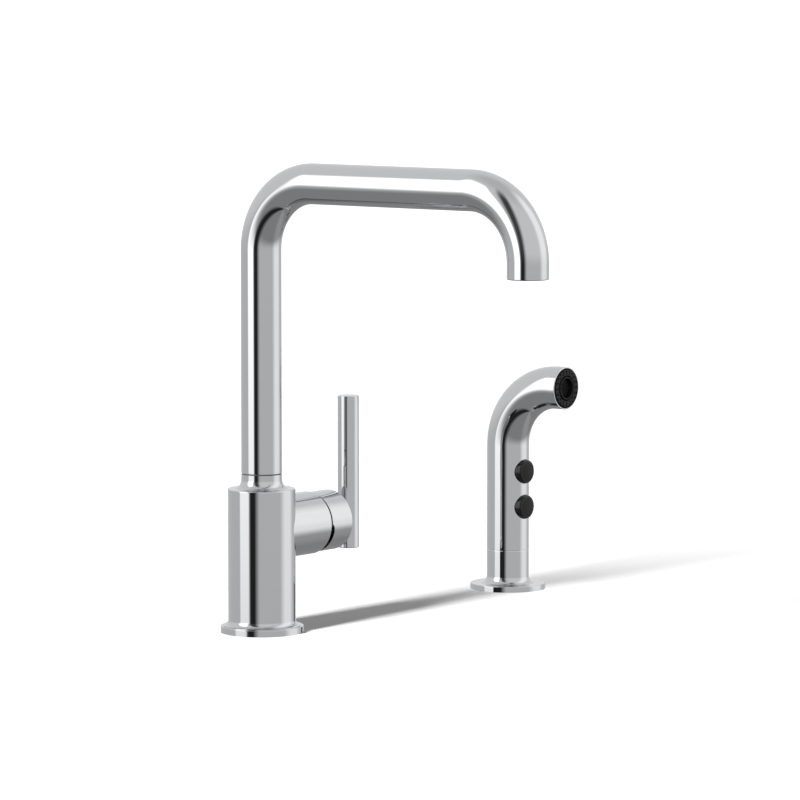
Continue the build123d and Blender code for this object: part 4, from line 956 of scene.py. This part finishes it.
class FAUCET_OT_stage(Operator):
    """Pale deck, studio light, what the chrome mirrors, and the camera"""
    bl_idname = "faucet.stage"
    bl_label = "Stage"

    def execute(self, context):
        self.deck()
        self.shade_sleeves()
        self.key_light()
        self.mirrored_room(context)
        self.camera(context)
        return {"FINISHED"}

    def deck(self):
        """Floor that the camera sees and the chrome doesn't: the mirrored room has a deck of its own."""
        bpy.ops.object.select_all(action="DESELECT")
        bpy.ops.mesh.primitive_circle_add(vertices=SIDES["small"], radius=FLOOR_RADIUS, fill_type="NGON")
        floor = bpy.context.object
        floor.name = "deck_floor"
        floor.data.materials.append(deck_paint())
        floor.visible_glossy = False

    def shade_sleeves(self):
        """A dull sleeve round each shank, which only the chrome sees: painted shade, dark where it hides
        the brass below the deck.
        """
        for node, name in (("deck_washer_steel", "faucet_sleeve"), ("holder_washer_steel", "spray_sleeve")):
            low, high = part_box(node)
            shade_sleeve = start_ring(name, (high.x - low.x) / 2 + SHADE_SLEEVE["gap"],
                                ((low.x + high.x) / 2, 0, -SHADE_SLEEVE["below"]), "Z", SIDES["shade_sleeve"])
            bpy.ops.mesh.extrude_region_move(TRANSFORM_OT_translate={"value": (0, 0, -SHADE_SLEEVE["length"])})
            bpy.ops.object.mode_set(mode="OBJECT")
            shade_sleeve.data.materials.append(finish_of("rubber"))
            shade_sleeve.visible_camera = shade_sleeve.visible_diffuse = shade_sleeve.visible_shadow = False

    def key_light(self):
        """Lamp for the long shadow of the faucet; the chrome mirrors the room's softbox instead."""
        rise = radians(KEY["rise"])
        place = (-KEY["distance"] * cos(rise), KEY["aside"], KEY["distance"] * sin(rise))
        bpy.ops.object.light_add(type="AREA", location=place, rotation=(0, rise - pi / 2, 0))
        key = bpy.context.object
        key.name = "key_light"
        key.data.shape = "RECTANGLE"
        key.data.size, key.data.size_y = KEY["length"], KEY["width"]
        key.data.energy = KEY["power"]
        key.visible_glossy = False
        blockers = bpy.data.collections.new("key_shadows")
        for piece in bpy.data.objects:
            if SHADED_BY & set(body_of(piece) or ()) and "holder" not in piece.name:
                blockers.objects.link(piece)
        key.light_linking.blocker_collection = blockers

    def mirrored_room(self, context):
        """World of even light, whose mirrored look is the studio's."""
        world = bpy.data.worlds.new("studio")
        context.scene.world = world
        world.use_nodes = True
        tree = world.node_tree
        tree.nodes.clear()

        # Turn round the horizon as a share of a circle, and rise above it in degrees
        way = add(tree, "ShaderNodeTexCoord")["Generated"]
        x, y, z = add(tree, "ShaderNodeSeparateXYZ", {"Vector": way})
        turn = add(tree, "ShaderNodeMath", {0: y, 1: x}, operation="ARCTAN2")[0]
        turn = add(tree, "ShaderNodeMath", {0: turn, 1: 1 / (2 * pi)}, operation="MULTIPLY")[0]
        turn = add(tree, "ShaderNodeMath", {0: turn}, operation="FRACT")[0]
        rise = add(tree, "ShaderNodeMath", {0: z}, operation="ARCSINE")[0]
        rise = add(tree, "ShaderNodeMath", {0: rise, 1: 180 / pi}, operation="MULTIPLY")[0]

        shown = None
        for levels, start, full in ROOM:
            stops = [(place / 360, mirrored(level)) for place, level in levels]
            band = add(tree, "ShaderNodeValToRGB", {"Fac": turn}, stops)[0]
            if shown is None:
                shown = band
                continue
            share = add(tree, "ShaderNodeMapRange", {"Value": rise, "From Min": start, "From Max": full},
                        interpolation_type="SMOOTHSTEP")[0]
            shown = add(tree, "ShaderNodeMix", {"Factor": share, 6: shown, 7: band}, data_type="RGBA")[2]

        # Softbox: how far off its middle, as a share of its half sizes, with square corners
        box = SOFTBOX
        width, height, corner = box["half_width"], box["half_height"], box["corner"]
        across = add(tree, "ShaderNodeMath", {0: turn, 1: 360 / width, 2: -box["turn"] / width},
                     operation="MULTIPLY_ADD")[0]
        across = add(tree, "ShaderNodeMath", {0: rise, 1: -box["lean"] / width, 2: across},
                     operation="MULTIPLY_ADD")[0]
        up = add(tree, "ShaderNodeMath", {0: rise, 1: 1 / height, 2: -box["rise"] / height},
                 operation="MULTIPLY_ADD")[0]
        across, up = (add(tree, "ShaderNodeMath", {0: share, 1: corner}, operation="POWER")[0]
                      for share in (across, up))
        off = add(tree, "ShaderNodeMath", {0: across, 1: up}, operation="ADD")[0]
        off = add(tree, "ShaderNodeMath", {0: off, 1: 1 / corner}, operation="POWER")[0]
        lit, clear = (add(tree, "ShaderNodeMapRange", {"Value": value, "From Min": start, "From Max": full},
                          interpolation_type="SMOOTHSTEP")[0]
                      for value, start, full in ((off, box["ends"], box["full"]),
                                                 (rise, box["hidden"], box["clear"])))
        panel = add(tree, "ShaderNodeMath", {0: lit, 1: clear}, operation="MULTIPLY")[0]
        shown = add(tree, "ShaderNodeMix", {"Factor": panel, 6: shown, 7: (box["light"],) * 3 + (1,)},
                    data_type="RGBA")[2]

        ray = add(tree, "ShaderNodeLightPath")
        mirror = add(tree, "ShaderNodeBackground", {"Color": shown, "Strength": ROOM_LIGHT})[0]
        fill, white = (add(tree, "ShaderNodeBackground", {"Color": (1, 1, 1, 1), "Strength": light})[0]
                       for light in (FILL, BACKDROP))
        mixed = add(tree, "ShaderNodeMixShader", {0: ray["Is Diffuse Ray"], 1: mirror, 2: fill})[0]
        mixed = add(tree, "ShaderNodeMixShader", {0: ray["Is Camera Ray"], 1: mixed, 2: white})[0]
        add(tree, "ShaderNodeOutputWorld", {"Surface": mixed})

    def camera(self, context):
        """Camera of the photo, and colours shown as they are."""
        bpy.ops.object.camera_add(location=CAMERA["place"],
                                  rotation=(pi / 2 - CAMERA["down"], 0, CAMERA["turn"]))
        camera = bpy.context.object
        camera.name = "photo_camera"
        camera.data.sensor_width = CAMERA["film"]
        camera.data.lens = CAMERA["lens"]
        context.scene.camera = camera
        context.scene.view_settings.view_transform = "Standard"


class FAUCET_PT_sidebar(Panel):
    """Sizes, colours and one button for each piece"""
    bl_idname = "FAUCET_PT_sidebar"
    bl_label = "Side Spray Faucet"
    bl_space_type = "VIEW_3D"
    bl_region_type = "UI"
    bl_category = "Faucet"

    def draw(self, context):
        for part in GROUPS:
            column = self.layout.column()
            column.label(text=part.title())
            for name in sizes(part).bl_rna.properties.keys():
                if name not in ("rna_type", "name"):
                    column.prop(sizes(part), name)
        for operator in OPERATORS:
            self.layout.operator(operator.bl_idname)


GROUPS = {"spout": SpoutSizes, "body": BodySizes, "lever": LeverSizes, "spray": SpraySizes,
          "nozzle": NozzleSizes, "finish": FinishColours}
OPERATORS = (FAUCET_OT_finish_rest, FAUCET_OT_spout, FAUCET_OT_body, FAUCET_OT_flange, FAUCET_OT_lever,
             FAUCET_OT_holder, FAUCET_OT_spray, FAUCET_OT_buttons, FAUCET_OT_nozzle, FAUCET_OT_stage)
CLASSES = (*GROUPS.values(), *OPERATORS, FAUCET_PT_sidebar)


def register():
    for item in CLASSES:
        bpy.utils.register_class(item)
    for part, group in GROUPS.items():
        setattr(bpy.types.Scene, "faucet_" + part, PointerProperty(type=group))


def unregister():
    for part in GROUPS:
        delattr(bpy.types.Scene, "faucet_" + part)
    for item in reversed(CLASSES):
        bpy.utils.unregister_class(item)


def main():
    register()
    for operator in OPERATORS:
        group, name = operator.bl_idname.split(".")
        getattr(getattr(bpy.ops, group), name)()


if __name__ == "__main__":
    main()
